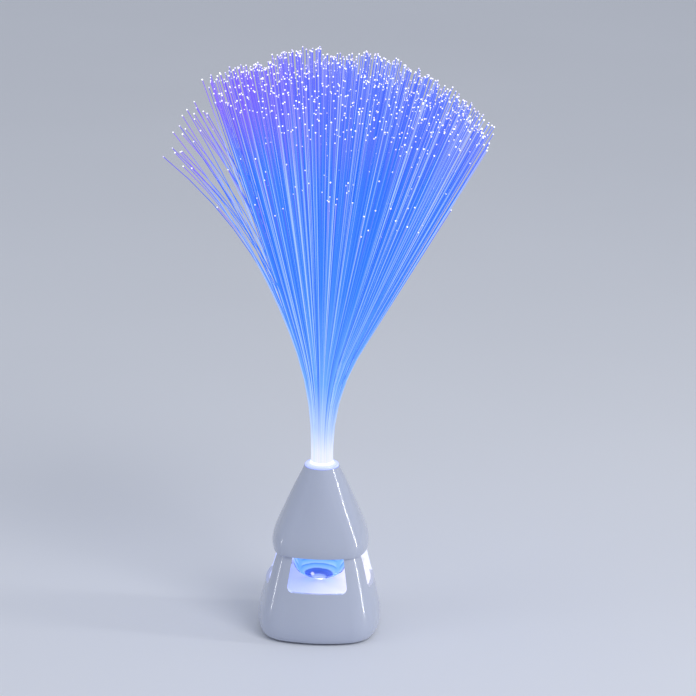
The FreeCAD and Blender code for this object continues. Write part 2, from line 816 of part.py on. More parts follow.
def make_batteries():
    """Three cells side by side, every other one turned about."""
    for number, y, side in cell_rows():
        button_end = side * (box_half_x - size("contact_thickness"))
        shoulder = button_end - side * size("cell_nub")
        tail = button_end - side * size("cell_length")
        low, high = (tail, shoulder) if side > 0 else (shoulder, tail)
        can = cylinder_along_x(size("cell_radius"), low, high, y, cell_height)
        low, high = (shoulder, button_end) if side > 0 else (button_end, shoulder)
        button = cylinder_along_x(size("cell_nub_radius"), low, high, y, cell_height)
        sub_part(f"battery_{number}", fuse([can, button], f"battery_{number}"))


def make_contacts():
    """A flat tab at each cell's button and a spring contact at its tail."""
    for number, y, side in cell_rows():
        thickness, half = size("contact_thickness"), size("contact_half")
        plate_low, plate_high = cell_height - half, cell_height + half
        wall = side * box_half_x
        face = wall - side * thickness
        low, high = (face, wall) if side > 0 else (wall, face)
        tab = box(low, high, y - half, y + half, plate_low, plate_high)
        sub_part(f"contact_tab_{number}", outer_copy_of(tab))

        face = -wall + side * thickness
        low, high = (-wall, face) if side > 0 else (face, -wall)
        plate = box(low, high, y - half, y + half, plate_low, plate_high)
        frustum = document.addObject("Part::Cone", "spring_outside")
        hollow = document.addObject("Part::Cone", "spring_inside")
        wire = size("spring_wire")
        for shape, inset in ((frustum, 0), (hollow, wire)):
            wide, narrow = size("spring_radius") - inset, size("spring_tip_radius") - inset
            bind(shape, Radius1=wide, Radius2=narrow, Height=size("spring_length"))
            shape.Placement.Rotation = FreeCAD.Rotation(Vector(0, 1, 0), 90 * side)
            move(shape, face, y, cell_height)
        spring = fuse([plate, cut(frustum, [hollow])], f"contact_spring_{number}")
        sub_part(f"contact_spring_{number}", spring)


# Circuit board and wires


def make_circuit_board():
    """The driver board on top of the battery box, with its parts and screws."""
    half_x, half_y = size("board_half_x"), size("board_half_y")
    board = box(-half_x, half_x, -half_y, half_y, board_low, board_top)
    holes = [cylinder(small_hole_radius, board_low, board_top, s * size("board_screw_x"), 0) for s in SIDES]
    sub_part("circuit_board", cut(board, holes, "circuit_board"))

    chip_x, chip_y = size("chip_half_x"), size("chip_half_y")
    chip = box(-chip_x, chip_x, -chip_y, chip_y, board_top, board_top + size("chip_thickness"))
    sub_part("controller_chip", outer_copy_of(chip))

    radius = size("capacitor_radius")
    x, y = half_x - 2 * radius, half_y - 1.5 * radius
    capacitor = cylinder(radius, board_top, board_top + size("capacitor_length"), x, y)
    sub_part("buffer_capacitor", outer_copy_of(capacitor))

    resistors = []
    length, width, pitch = size("resistor_length"), size("resistor_width"), size("resistor_pitch")
    for number in range(4):
        x = pitch * (number - 1.5)
        y = -half_y + pitch
        top = board_top + size("resistor_height")
        resistors.append(box(x - width / 2, x + width / 2, y - length / 2, y + length / 2, board_top, top))
    sub_part("resistors", group(resistors, "resistors"))

    screws = []
    for side in SIDES:
        bite = board_top - box_ceiling - size("box_wall") / 2 - size("thread_clearance")
        screws.append(small_screw(side * size("board_screw_x"), 0, board_top, bite, up=False))
    sub_part("board_screws", group(screws, "board_screws"))


def wire_tube(points, radius, bend):
    """A round tube along straight runs joined by tangent arcs of one radius."""
    edges = []
    start = points[0]
    for before, corner, after in zip(points, points[1:], points[2:]):
        ahead = (corner - before).normalize()
        onward = (after - corner).normalize()
        turn = ahead.getAngle(onward)
        back = bend * math.tan(turn / 2)
        enter = corner - ahead * back
        leave = corner + onward * back
        inward = (onward - ahead).normalize()
        middle = corner + inward * (bend / math.cos(turn / 2) - bend)
        edges.append(Part.LineSegment(start, enter).toShape())
        edges.append(Part.Arc(enter, middle, leave).toShape())
        start = leave
    edges.append(Part.LineSegment(start, points[-1]).toShape())
    section = Part.Wire([Part.makeCircle(radius, points[0], points[1] - points[0])])
    return Part.Wire(edges).makePipeShell([section], True, False)


def bare_shape(node, shape):
    """A sub-part whose shape is worked out here from the sheet's values."""
    feature = document.addObject("Part::Feature", node)
    feature.Shape = shape
    feature.Placement = FreeCAD.Placement()
    return sub_part(node, feature)


def make_wires():
    """The short leads inside: from the cells, from the switch and to the light source."""
    radius, bend = size("wire_radius").value, size("wire_bend").value
    over = (board_top + 2 * size("wire_bend")).value
    top = board_top.value

    end_x = (box_half_x - 2 * size("wire_radius")).value
    board_x = (size("board_half_x") - 2 * size("wire_radius")).value
    rows = [y.value for _, y, _ in cell_rows()]
    leads = []
    for side, y in ((-1, rows[0]), (1, rows[-1])):
        path = [(side * end_x, y, box_top.value), (side * end_x, y, over)]
        path += [(side * board_x, y, over), (side * board_x, y, top)]
        leads.append(wire_tube([Vector(*point) for point in path], radius, bend))
    bare_shape("battery_leads", Part.makeCompound(leads))

    pin_x = (size("can_half_x") / 2).value
    can_back = (switch_plane - size("switch_bracket") - size("can_depth")).value
    drop_y = (box_half_y + size("box_wall") + 4 * size("wire_radius")).value
    board_y = (size("board_half_y") - 2 * size("wire_radius")).value
    z = size("switch_height").value
    leads = []
    for side in SIDES:
        x = side * pin_x
        path = [(x, can_back, z), (x, drop_y, z), (x, drop_y, over), (x, board_y, over), (x, board_y, top)]
        leads.append(wire_tube([Vector(*point) for point in path], radius, bend))
    bare_shape("switch_leads", Part.makeCompound(leads))

    start_x = (size("board_screw_x") - 2 * size("wire_bend")).value
    end_x = (size("lamp_board_radius") / 2).value
    middle = (board_top.value + lamp_board_low.value) / 2
    bend = (lamp_board_low.value - board_top.value) / 3
    leads = []
    for number in range(4):
        y = (size("chip_half_y") + 3 * size("wire_radius") * (number + 0.5)).value
        path = [(-start_x, y, top), (-start_x, y, middle), (-end_x, y, middle), (-end_x, y, lamp_board_low.value)]
        leads.append(wire_tube([Vector(*point) for point in path], radius, bend))
    bare_shape("lamp_leads", Part.makeCompound(leads))


# Light source and lens


def make_chamber_floor():
    """The white floor behind the windows, with a bore over the light source."""
    half = wall_half(size("sill_height"))
    floor = slab(floor_low, size("sill_height"), half, size("shell_wall") + 1.5 * size("fit_gap"))
    pieces = [floor]
    holes = [cylinder(size("floor_bore_radius"), floor_low, size("sill_height"))]
    for x_side, y_side in CORNERS:
        x, y = x_side * post_x, y_side * post_y
        holes.append(cylinder(screw_hole_radius, floor_low, size("sill_height"), x, y))
    for side in SIDES:
        x = side * size("lamp_screw_x")
        pieces.append(cylinder(small_boss_radius, lamp_board_top, floor_low, x, 0))
        pilot_top = lamp_board_top + size("lamp_standoff")
        holes.append(cylinder(small_pilot_radius, lamp_board_top, pilot_top, x, 0))
    return sub_part("chamber_floor", cut(fuse(pieces), holes, "chamber_floor"))


def make_light_source():
    """The light board under the floor, its emitter and its screws."""
    board = cylinder(size("lamp_board_radius"), lamp_board_low, lamp_board_top)
    holes = []
    screws = []
    for side in SIDES:
        x = side * size("lamp_screw_x")
        holes.append(cylinder(small_hole_radius, lamp_board_low, lamp_board_top, x, 0))
        bite = size("board_thickness") + size("small_screw_bite")
        screws.append(small_screw(x, 0, lamp_board_low, bite))
    sub_part("lamp_board", cut(board, holes, "lamp_board"))
    sub_part("lamp_board_screws", group(screws, "lamp_board_screws"))

    half = size("lamp_package_half")
    package_top = lamp_board_top + size("lamp_package")
    package = box(-half, half, -half, half, lamp_board_top, package_top)
    sub_part("lamp_emitter", fuse([package, ball_top(package_top)], "lamp_emitter"))


def ball_top(z):
    """The emitter's clear dome, cut flat at its seat."""
    radius = size("lamp_dome_radius")
    dome = ball(radius, z)
    return common(dome, cylinder(radius, z - size("lamp_package") / 2, z + radius))


def make_dome_lens():
    """The clear lens that hangs over the light source: a half ball with round grooves, and a flange."""
    radius, z = size("dome_radius"), dome_height
    flange_top = z + size("dome_flange")
    lower_half = common(ball(radius, z), cylinder(radius, z - radius, z))
    blank = fuse([lower_half, cylinder(dome_flange_radius, z, flange_top)])
    grooves = []
    for degrees in (32, 50, 68):
        angle = math.radians(degrees)
        grooves.append(torus(radius * math.sin(angle), size("groove_radius"), z - radius * math.cos(angle)))
    return sub_part("dome_lens", cut(blank, grooves, "dome_lens"))


def make_lens_frame():
    """The frame that hangs the lens from the deck, clamped under the shroud's bosses."""
    tube_outer = deck_bore_radius - size("fit_gap") / 1.5
    tube_inner = dome_flange_radius + size("fit_gap") / 1.5
    lip_low = dome_height - size("frame_lip")
    flange = slab(size("deck_top"), frame_top, frame_flange_half)
    tube = cylinder(tube_outer, lip_low, frame_top)
    holes = [
        cylinder(tube_inner, dome_height, frame_top),
        cylinder(size("dome_radius") + size("fit_gap"), lip_low, dome_height),
    ]
    for x_side, y_side in CORNERS:
        x, y = x_side * shroud_screw_place, y_side * shroud_screw_place
        holes.append(cylinder(screw_hole_radius, size("deck_top"), frame_top, x, y))
    return sub_part("lens_frame", cut(fuse([flange, tube]), holes, "lens_frame"))


def make_reflector():
    """The white funnel that gathers the light from the lens into the plug's socket."""
    foot = dome_height + size("dome_flange")
    knee = foot + size("reflector_foot")
    neck = size("socket_height") - size("reflector_neck")
    wall = size("reflector_wall")
    wide, narrow = dome_flange_radius, socket_radius + wall
    outline = [
        (wide - wall, foot),
        (wide, foot),
        (wide, knee),
        (narrow, neck),
        (narrow, size("socket_height")),
        (narrow - wall, size("socket_height")),
        (narrow - wall, neck),
        (wide - wall, knee),
    ]
    return sub_part("reflector_funnel", turned(outline, "reflector_funnel"))


# Socket, plug and fibres


def make_fibre_socket():
    """The tube inside the cone that guides the fibre plug, and its two screws."""
    low = size("socket_height")
    flange_top = low + size("socket_flange")
    top = size("crown_height") - size("crown_cap")
    flange_radius = size("socket_screw_x") + small_boss_radius
    blank = fuse([cylinder(flange_radius, low, flange_top), cylinder(socket_outer, low, top)])
    holes = [cylinder(socket_radius, low, top)]
    screws = []
    for side in SIDES:
        x = side * size("socket_screw_x")
        holes.append(cylinder(small_hole_radius, low, flange_top, x, 0))
        screws.append(small_screw(x, 0, low, size("screw_bite") - size("thread_clearance")))
    sub_part("fibre_socket", cut(blank, holes, "fibre_socket"))
    sub_part("socket_screws", group(screws, "socket_screws"))


def make_plug_ferrule():
    """The clear plug round the fibres' lower ends, with the lit collar on top of the cone."""
    seat = size("crown_height")
    bore = size("bundle_radius") + size("bundle_gap")
    collar_top = seat + size("collar_thickness")
    groove_low = collar_top - size("collar_groove")
    rounding = size("collar_round")
    rim = size("collar_radius") - 2 * rounding
    outline = [
        (bore, shaft_low),
        (size("shaft_radius") - rounding, shaft_low),
        (size("shaft_radius"), shaft_low + rounding),
        (size("shaft_radius"), seat),
        (size("collar_radius") - rounding / 2, seat),
        (size("collar_radius"), seat + rounding / 2),
        (size("collar_radius"), collar_top - rounding),
        (size("collar_radius") - rounding, collar_top),
        (rim, collar_top),
        (rim, groove_low),
        (size("collar_ring_radius"), groove_low),
        (size("collar_ring_radius"), collar_top),
        (bore + rounding, collar_top + rounding),
        (bore, collar_top + rounding),
    ]
    return sub_part("plug_ferrule", turned(outline, "plug_ferrule"))


def make_fibre_bundle():
    """The bonded lower ends of the fibres inside the plug."""
    bundle = cylinder(size("bundle_radius"), shaft_low, fibre_foot)
    return sub_part("fibre_bundle", outer_copy_of(bundle))


def fibre_roots():
    """Places of the fibres' lower ends: rings round a middle one, each ring with six more than the last."""
    pitch = size("fibre_pitch").value
    yield 0.0, 0.0
    for ring in range(1, int(size("fibre_rings").value) + 1):
        for step in range(6 * ring):
            angle = 2 * math.pi * (step + ring / 2) / (6 * ring)
            yield ring * pitch * math.cos(angle), ring * pitch * math.sin(angle)


def fibre_tube(root, direction, tilt, droop, length):
    """One fibre: upright at its root, bent outwards over its lower part, then straight or drooping to its tip."""
    radius = size("fibre_radius").value
    upright = size("fibre_upright").value
    bend_length = size("fibre_bend_length").value
    start = Vector(root[0], root[1], fibre_foot.value)
    corner = start + UP * upright
    edges = [Part.LineSegment(start, corner).toShape()]
    here, angle = corner, 0.0
    for turn, run in ((tilt, bend_length), (droop, length - upright - bend_length)):
        if turn < 1e-4:
            there = here + (UP * math.cos(angle) + direction * math.sin(angle)) * run
            edges.append(Part.LineSegment(here, there).toShape())
            here = there
            continue
        bend = run / turn
        centre = here + (direction * math.cos(angle) - UP * math.sin(angle)) * bend
        points = []
        for share in (0.5, 1.0):
            now = angle + turn * share
            points.append(centre - (direction * math.cos(now) - UP * math.sin(now)) * bend)
        edges.append(Part.Arc(here, points[0], points[1]).toShape())
        here, angle = points[1], angle + turn
    section = Part.Wire([Part.makeCircle(radius, start, UP)])
    return Part.Wire(edges).makePipeShell([section], True, False)


def make_fibres():
    """The spray. Each fibre leans as its root lies, so that no two meet, and the whole leans a little to +X."""
    chance = random.Random(7)
    outer = size("fibre_pitch").value * size("fibre_rings").value
    spread = math.radians(size("spread_degrees").value)
    lean = math.radians(size("lean_degrees").value)
    full = size("fibre_length").value
    dome_drop = size("dome_drop").value
    stray_droop = math.radians(size("stray_droop_degrees").value)
    play = 0.3 * spread / size("fibre_rings").value
    tubes = []
    for x, y in fibre_roots():
        away_x = spread * x / outer + lean + chance.uniform(-play, play)
        away_y = spread * y / outer + chance.uniform(-play, play)
        tilt = math.hypot(away_x, away_y)
        direction = Vector(away_x, away_y, 0).normalize()
        length = full * chance.uniform(0.94, 1.0) * (1 - dome_drop * (tilt / (spread + lean)) ** 2)
        is_stray = math.hypot(x, y) > 0.99 * outer and x < -0.75 * outer
        sag = stray_droop * chance.uniform(0.5, 1.0) if is_stray else 0.0
        tubes.append(fibre_tube((x, y), direction, tilt, sag, length))
    return bare_shape("fibre_strands", Part.makeCompound(tubes))


# Switch, feet and housing screws


def make_switch():
    """The slide switch behind the rear wall: its bracket and can, its knob and its screws."""
    plane, z = switch_plane, size("switch_height")
    back = plane - size("switch_bracket")
    bracket_x, bracket_z = size("bracket_half_x"), size("bracket_half_z")
    bracket = box(-bracket_x, bracket_x, back, plane, z - bracket_z, z + bracket_z)
    can_x, can_z = size("can_half_x"), size("can_half_z")
    can = box(-can_x, can_x, back - size("can_depth"), back, z - can_z, z + can_z)
    slot_x = size("knob_travel") / 2 + size("knob_half_x") + size("knob_gap")
    slot_z = size("knob_half_z") + size("knob_gap")
    holes = [box(-slot_x, slot_x, back, plane, z - slot_z, z + slot_z)]
    screws = []
    for side in SIDES:
        x = side * size("switch_screw_x")
        holes.append(cylinder_along_y(small_hole_radius, back, plane, x, z))
        head = size("small_screw_head")
        bite = plane + size("small_screw_bite") - size("thread_clearance")
        shank = cylinder_along_y(size("small_screw_radius"), back, bite, x, z)
        screws.append(fuse([shank, cylinder_along_y(size("small_screw_head_radius"), back - head, back, x, z)]))
    sub_part("switch_body", cut(fuse([bracket, can]), holes, "switch_body"))
    sub_part("switch_screws", group(screws, "switch_screws"))

    half_x, half_z = size("knob_half_x"), size("knob_half_z")
    middle = size("knob_travel") / 2
    face = belly_half + size("knob_reach") - size("fit_gap")
    low = back + size("fit_gap")
    knob = box(middle - half_x, middle + half_x, low, face, z - half_z, z + half_z)
    grip = half_x / 4
    grooves = []
    for side in (-1, 0, 1):
        x = middle + side * half_x / 2
        grooves.append(box(x - grip / 2, x + grip / 2, face - grip, face, z - half_z, z + half_z))
    sub_part("switch_knob", cut(knob, grooves, "switch_knob"))


def make_feet():
    """Four soft feet, which hide the base screws."""
    for number, (x_side, y_side) in enumerate(CORNERS, start=1):
        x, y = x_side * post_x, y_side * post_y
        foot = cylinder(size("foot_radius"), 0, size("plate_height"), x, y)
        sub_part(f"foot_{number}", outer_copy_of(foot))


def make_housing_screws():
    """The screws that hold the base plate, the floor and the shroud, four of each."""
    base, floor, shroud = [], [], []
    for x_side, y_side in CORNERS:
        x, y = x_side * post_x, y_side * post_y
        base.append(screw(x, y, size("base_head_seat"), size("screw_bite")))
        floor_bite = size("floor_thickness") + size("screw_bite") - size("boss_wall")
        floor.append(screw(x, y, size("sill_height"), floor_bite, up=False))
        place = shroud_screw_place
        bite = size("screw_bite") + size("boss_wall") / 2
        shroud.append(screw(x_side * place, y_side * place, deck_low, bite))
    sub_part("base_screws", group(base, "base_screws"))
    sub_part("floor_screws", group(floor, "floor_screws"))
    sub_part("shroud_screws", group(shroud, "shroud_screws"))


def check_and_write():
    """Recompute the document, test every object, then write each sub-part to its own file."""
    document.recompute()
    for thing in document.Objects:
        if "Invalid" in thing.State or "Error" in thing.State:
            raise RuntimeError(f"{thing.Name} ({thing.Label}) failed: {thing.State}")
    for thing in sub_parts:
        if thing.Shape.isNull() or not thing.Shape.isValid() or not thing.Shape.Solids:
            raise RuntimeError(f"{thing.Label} has no valid solid")
    os.makedirs(PARTS_FOLDER, exist_ok=True)
    for thing in sub_parts:
        thing.Shape.exportStep(os.path.join(PARTS_FOLDER, f"{thing.Label}.step"))
        volume = sum(solid.Volume for solid in thing.Shape.Solids)
        print(f"{thing.Label}: {len(thing.Shape.Solids)} solids, {volume:.1f} mm3")


make_lower_housing()
make_shroud_cone()
make_base_plate()
make_battery_door()
make_door_screw()
make_batteries()
make_contacts()
make_circuit_board()
make_wires()
make_chamber_floor()
make_light_source()
make_dome_lens()
make_lens_frame()
make_reflector()
make_fibre_socket()
make_plug_ferrule()
make_fibre_bundle()
make_fibres()
make_switch()
make_feet()
make_housing_screws()
check_and_write()
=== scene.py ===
"""Dresses the packed fibre optic lamp.

It gives the moulded shells and the inner parts their finishes, and makes the clear lens, the glowing spray
of fine fibres with their bright tips, the coiled battery springs, and the camera, lamps and floor.
"""

import logging
import math
from dataclasses import dataclass
from enum import Enum

import bmesh
import bpy
from mathutils import Matrix, Vector


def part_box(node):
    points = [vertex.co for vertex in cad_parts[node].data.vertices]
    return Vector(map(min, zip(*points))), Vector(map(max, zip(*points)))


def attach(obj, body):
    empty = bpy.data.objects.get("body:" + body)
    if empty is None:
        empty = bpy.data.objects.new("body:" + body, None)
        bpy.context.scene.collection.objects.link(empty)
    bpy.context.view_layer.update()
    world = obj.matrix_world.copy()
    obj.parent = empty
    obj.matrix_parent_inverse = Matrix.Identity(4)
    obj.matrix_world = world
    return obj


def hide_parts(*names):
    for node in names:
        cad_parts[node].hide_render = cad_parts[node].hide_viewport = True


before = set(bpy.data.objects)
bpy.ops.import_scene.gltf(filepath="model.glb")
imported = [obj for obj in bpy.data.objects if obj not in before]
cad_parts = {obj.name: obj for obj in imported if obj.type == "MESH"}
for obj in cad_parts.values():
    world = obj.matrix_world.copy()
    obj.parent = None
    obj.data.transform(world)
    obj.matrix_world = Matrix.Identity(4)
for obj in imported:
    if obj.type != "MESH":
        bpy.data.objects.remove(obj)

LOG = logging.getLogger("fibre_lamp")
MM = 0.001
Colour = tuple[float, float, float]
GOLDEN_ANGLE = math.pi * (3 - math.sqrt(5))
CHAMBER_WIDTH = 40 * MM
BLACK = (0.0, 0.0, 0.0)
WHITE = (1.0, 1.0, 1.0)
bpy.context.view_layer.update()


class Body(Enum):
    """The moving bodies of the lamp, as the frame names them."""

    BASE = "base"
    PLUG = "fibre_plug"


class Slot(Enum):
    """The record's material slots that match the new pieces."""

    FIBRE = "fibre"
    CONTACT = "contact_metal"
    LENS = "clear_lens"


class Grain(Enum):
    """How a metal surface was left: rolled strip or tumbled and plated."""

    ROLLED = "rolled"
    PLATED = "plated"


# Node helpers


class Term:
    """A number socket that Python's arithmetic turns into Math nodes."""

    def __init__(self, tree: bpy.types.NodeTree, socket: bpy.types.NodeSocket) -> None:
        """Keeps a socket of a tree.

        Args:
            tree: The node tree that new Math nodes go into.
            socket: The output socket that this term stands for.
        """
        self.tree = tree
        self.socket = socket

    def worked(self, operation: str, *others: "Term | float") -> "Term":
        """Adds one Math node.

        Args:
            operation: The Math node's operation.
            others: The second and third inputs, terms or plain numbers.

        Returns:
            The term of the node's result.
        """
        node = self.tree.nodes.new("ShaderNodeMath")
        node.operation = operation
        self.tree.links.new(self.socket, node.inputs[0])
        for place, other in enumerate(others, start=1):
            if isinstance(other, Term):
                self.tree.links.new(other.socket, node.inputs[place])
            else:
                node.inputs[place].default_value = other
        return Term(self.tree, node.outputs[0])

    def __add__(self, other: "Term | float") -> "Term":
        """Returns the sum."""
        return self.worked("ADD", other)

    def __sub__(self, other: "Term | float") -> "Term":
        """Returns the difference."""
        return self.worked("SUBTRACT", other)

    def __mul__(self, other: "Term | float") -> "Term":
        """Returns the product."""
        return self.worked("MULTIPLY", other)

    def __truediv__(self, other: "Term | float") -> "Term":
        """Returns the quotient."""
        return self.worked("DIVIDE", other)

    def __pow__(self, other: "Term | float") -> "Term":
        """Returns the power."""
        return self.worked("POWER", other)

    def less_from(self, whole: float) -> "Term":
        """Returns whole minus this term."""
        return self * -1.0 + whole

    def sin(self) -> "Term":
        """Returns the sine."""
        return self.worked("SINE")

    def cos(self) -> "Term":
        """Returns the cosine."""
        return self.worked("COSINE")

    def root(self) -> "Term":
        """Returns the square root."""
        return self.worked("SQRT")

    def floor(self) -> "Term":
        """Returns the whole part."""
        return self.worked("FLOOR")

    def size(self) -> "Term":
        """Returns the term without its sign."""
        return self.worked("ABSOLUTE")

    def at_most(self, other: "Term | float") -> "Term":
        """Returns the smaller of the two."""
        return self.worked("MINIMUM", other)

    def at_least(self, other: "Term | float") -> "Term":
        """Returns the larger of the two."""
        return self.worked("MAXIMUM", other)

    def above(self, other: "Term | float") -> "Term":
        """Returns 1 where this term is larger, and otherwise 0."""
        return self.worked("GREATER_THAN", other)

    def rising(self, low: float, high: float) -> "Term":
        """Returns a smooth step.

        Args:
            low: Where the step leaves 0.
            high: Where the step reaches 1.

        Returns:
            A term from 0 to 1.
        """
        node = self.tree.nodes.new("ShaderNodeMapRange")
        node.interpolation_type = "SMOOTHSTEP"
        node.inputs["From Min"].default_value = low
        node.inputs["From Max"].default_value = high
        self.tree.links.new(self.socket, node.inputs["Value"])
        return Term(self.tree, node.outputs["Result"])


class Coat:
    """A material under construction around one Principled shader."""

    def __init__(self, name: str, **constants: float | tuple) -> None:
        """Makes the material.

        Args:
            name: The material's name.
            constants: Values for the shader's own sockets, with _ for a space in the socket's name.
        """
        self.material = bpy.data.materials.new(name)
        self.material.use_nodes = True
        self.tree = self.material.node_tree
        self.shader = self.tree.nodes["Principled BSDF"]
        for socket, value in constants.items():
            self.shader.inputs[socket.replace("_", " ")].default_value = value
        self.place = self.tree.nodes.new("ShaderNodeTexCoord").outputs["Object"]

    def axis(self, name: str) -> Term:
        """Returns one coordinate of the place on the object, X, Y or Z, in metres."""
        node = self.tree.nodes.new("ShaderNodeSeparateXYZ")
        self.tree.links.new(self.place, node.inputs[0])
        return Term(self.tree, node.outputs[name])

    def across(self) -> Term:
        """Returns the place across the window chamber, 0 at its left wall and 1 at its right one."""
        return self.axis("X") / CHAMBER_WIDTH + 0.5

    def stretched(self, scale: tuple[float, float, float]) -> bpy.types.NodeSocket:
        """Returns the place scaled by another factor along each axis."""
        node = self.tree.nodes.new("ShaderNodeMapping")
        node.inputs["Scale"].default_value = scale
        self.tree.links.new(self.place, node.inputs["Vector"])
        return node.outputs[0]

    def noise(self, scale: float, detail: float = 2.0, place: bpy.types.NodeSocket | None = None) -> Term:
        """Adds a Noise texture.

        Args:
            scale: Patches to the metre.
            detail: How many finer layers it has.
            place: The coordinates to use instead of the plain place.

        Returns:
            The texture's value, about 0.5 on average.
        """
        node = self.tree.nodes.new("ShaderNodeTexNoise")
        node.inputs["Scale"].default_value = scale
        node.inputs["Detail"].default_value = detail
        self.tree.links.new(place or self.place, node.inputs["Vector"])
        return Term(self.tree, node.outputs[0])

    def cells(self, scale: float) -> Term:
        """Returns the distance to the middle of the nearest Voronoi cell, with scale cells to the metre."""
        node = self.tree.nodes.new("ShaderNodeTexVoronoi")
        node.inputs["Scale"].default_value = scale
        self.tree.links.new(self.place, node.inputs["Vector"])
        return Term(self.tree, node.outputs["Distance"])

    def attribute(self, name: str) -> Term:
        """Returns a number stored on the piece's mesh."""
        node = self.tree.nodes.new("ShaderNodeAttribute")
        node.attribute_name = name
        return Term(self.tree, node.outputs["Fac"])

    def facing(self) -> Term:
        """Returns how far the surface faces away from the lamp's axis, from -1 inwards to 1 outwards."""
        normal = self.tree.nodes.new("ShaderNodeNewGeometry").outputs["Normal"]
        outward = self.stretched((1.0, 1.0, 0.0))
        unit = self.tree.nodes.new("ShaderNodeVectorMath")
        unit.operation = "NORMALIZE"
        self.tree.links.new(outward, unit.inputs[0])
        dot = self.tree.nodes.new("ShaderNodeVectorMath")
        dot.operation = "DOT_PRODUCT"
        self.tree.links.new(unit.outputs[0], dot.inputs[0])
        self.tree.links.new(normal, dot.inputs[1])
        return Term(self.tree, dot.outputs["Value"])

    def ramp(self, share: Term, stops: list[tuple[float, Colour]]) -> bpy.types.NodeSocket:
        """Adds a colour ramp.

        Args:
            share: What the ramp follows, from 0 to 1.
            stops: Places and colours, from low to high.

        Returns:
            The colour socket.
        """
        node = self.tree.nodes.new("ShaderNodeValToRGB")
        elements = node.color_ramp.elements
        while len(elements) < len(stops):
            elements.new(0.5)
        for element, (place, colour) in zip(elements, stops):
            element.position = place
            element.color = (*colour, 1.0)
        self.tree.links.new(share.socket, node.inputs[0])
        return node.outputs[0]

    def mixed(
        self, share: Term, first: bpy.types.NodeSocket | Colour, second: bpy.types.NodeSocket | Colour
    ) -> bpy.types.NodeSocket:
        """Mixes two colours.

        Args:
            share: How much of the second colour shows.
            first: A colour or colour socket.
            second: A colour or colour socket.

        Returns:
            The mixed colour's socket.
        """
        node = self.tree.nodes.new("ShaderNodeMix")
        node.data_type = "RGBA"
        self.tree.links.new(share.socket, node.inputs[0])
        for place, colour in ((6, first), (7, second)):
            if isinstance(colour, tuple):
                node.inputs[place].default_value = (*colour, 1.0)
            else:
                self.tree.links.new(colour, node.inputs[place])
        return node.outputs[2]

    def feed(self, socket: str, source: Term | bpy.types.NodeSocket) -> None:
        """Links a term or a colour to one of the shader's sockets."""
        output = source.socket if isinstance(source, Term) else source
        self.tree.links.new(output, self.shader.inputs[socket])

    def bumped(self, height: Term, depth: float, strength: float = 1.0) -> None:
        """Gives the surface relief.

        Args:
            height: The relief, from 0 to 1.
            depth: Its full height in metres.
            strength: How much of it is used.
        """
        node = self.tree.nodes.new("ShaderNodeBump")
        node.inputs["Distance"].default_value = depth
        node.inputs["Strength"].default_value = strength
        self.tree.links.new(height.socket, node.inputs["Height"])
        self.tree.links.new(node.outputs[0], self.shader.inputs["Normal"])


# Finishes


@dataclass(frozen=True)
class GlossMoulding:
    """Glossy white moulded plastic, with painted light glowing on its inner faces where the chamber is."""

    name: str = "gloss_moulding"
    tint: Colour = (0.47, 0.51, 0.63)
    glow_low: float = 17 * MM
    glow_high: float = 58 * MM
    glow_edge: float = 1 * MM
    glow_share: float = 0.65
    cool: Colour = (0.58, 0.64, 1.0)
    warm: Colour = (0.95, 0.92, 1.0)

    def material(self) -> bpy.types.Material:
        """Builds the finish."""
        coat = Coat(self.name, Roughness=0.2, Coat_Weight=0.6, Coat_Roughness=0.04, Emission_Strength=1.0)
        flow = coat.noise(16.0, 3.0)
        shade = coat.ramp(flow, [(0.3, tuple(0.96 * c for c in self.tint)), (0.7, self.tint)])
        coat.feed("Base Color", shade)
        coat.feed("Roughness", coat.noise(90.0, 3.0) * 0.12 + 0.13)
        coat.bumped(coat.noise(420.0, 1.0), 0.02 * MM, 0.35)
        # Painted light: the inner faces within the chamber's height glow, cool on the left and warm on the
        # right.
        height = coat.axis("Z")
        inner = coat.facing().rising(0.12, -0.25)
        over = height.rising(self.glow_low - self.glow_edge, self.glow_low)
        under = height.rising(self.glow_high + self.glow_edge, self.glow_high)
        side = coat.across().at_least(0.0).at_most(1.0)
        glow = coat.ramp(side, [(0.1, self.cool), (0.8, self.warm)])
        coat.feed("Emission Color", coat.mixed(inner * (over * under) * self.glow_share, BLACK, glow))
        return coat.material


@dataclass(frozen=True)
class LitMoulding:
    """White moulded plastic with the source's strong light painted on as a glow, lavender on the left and
    warm on the right.
    """

    name: str = "lit_moulding"
    strength: float = 0.52
    cool: Colour = (0.26, 0.34, 1.0)
    warm: Colour = (1.0, 0.93, 0.98)
    middle: Colour = (0.62, 0.66, 1.0)

    def material(self) -> bpy.types.Material:
        """Builds the finish."""
        coat = Coat(self.name, Roughness=0.4, Emission_Strength=self.strength)
        side = (coat.across() + (coat.noise(30.0) - 0.5) * 0.2).at_least(0.0).at_most(1.0)
        shade = [(0.3, (0.56, 0.58, 0.68)), (0.7, (0.62, 0.64, 0.74))]
        coat.feed("Base Color", coat.ramp(coat.noise(40.0), shade))
        # Painted light: the emission stands for the source's light falling on the part.
        light = [(0.05, self.cool), (0.5, self.middle), (0.9, self.warm)]
        coat.feed("Emission Color", coat.ramp(side, light))
        coat.bumped(coat.noise(900.0), 0.02 * MM, 0.4)
        return coat.material


@dataclass(frozen=True)
class SatinMoulding:
    """Plain satin moulded plastic with a fine spark-eroded grain."""

    name: str
    tint: Colour = (0.82, 0.83, 0.85)
    rough: float = 0.45
    grain: float = 1600.0

    def material(self) -> bpy.types.Material:
        """Builds the finish."""
        coat = Coat(self.name, Specular_IOR_Level=0.45)
        shade = [(0.25, tuple(0.9 * c for c in self.tint)), (0.75, self.tint)]
        coat.feed("Base Color", coat.ramp(coat.noise(60.0, 3.0), shade))
        coat.feed("Roughness", coat.noise(self.grain, 2.0) * 0.2 + (self.rough - 0.1))
        coat.bumped(coat.noise(self.grain, 3.0), 0.04 * MM, 0.5)
        return coat.material


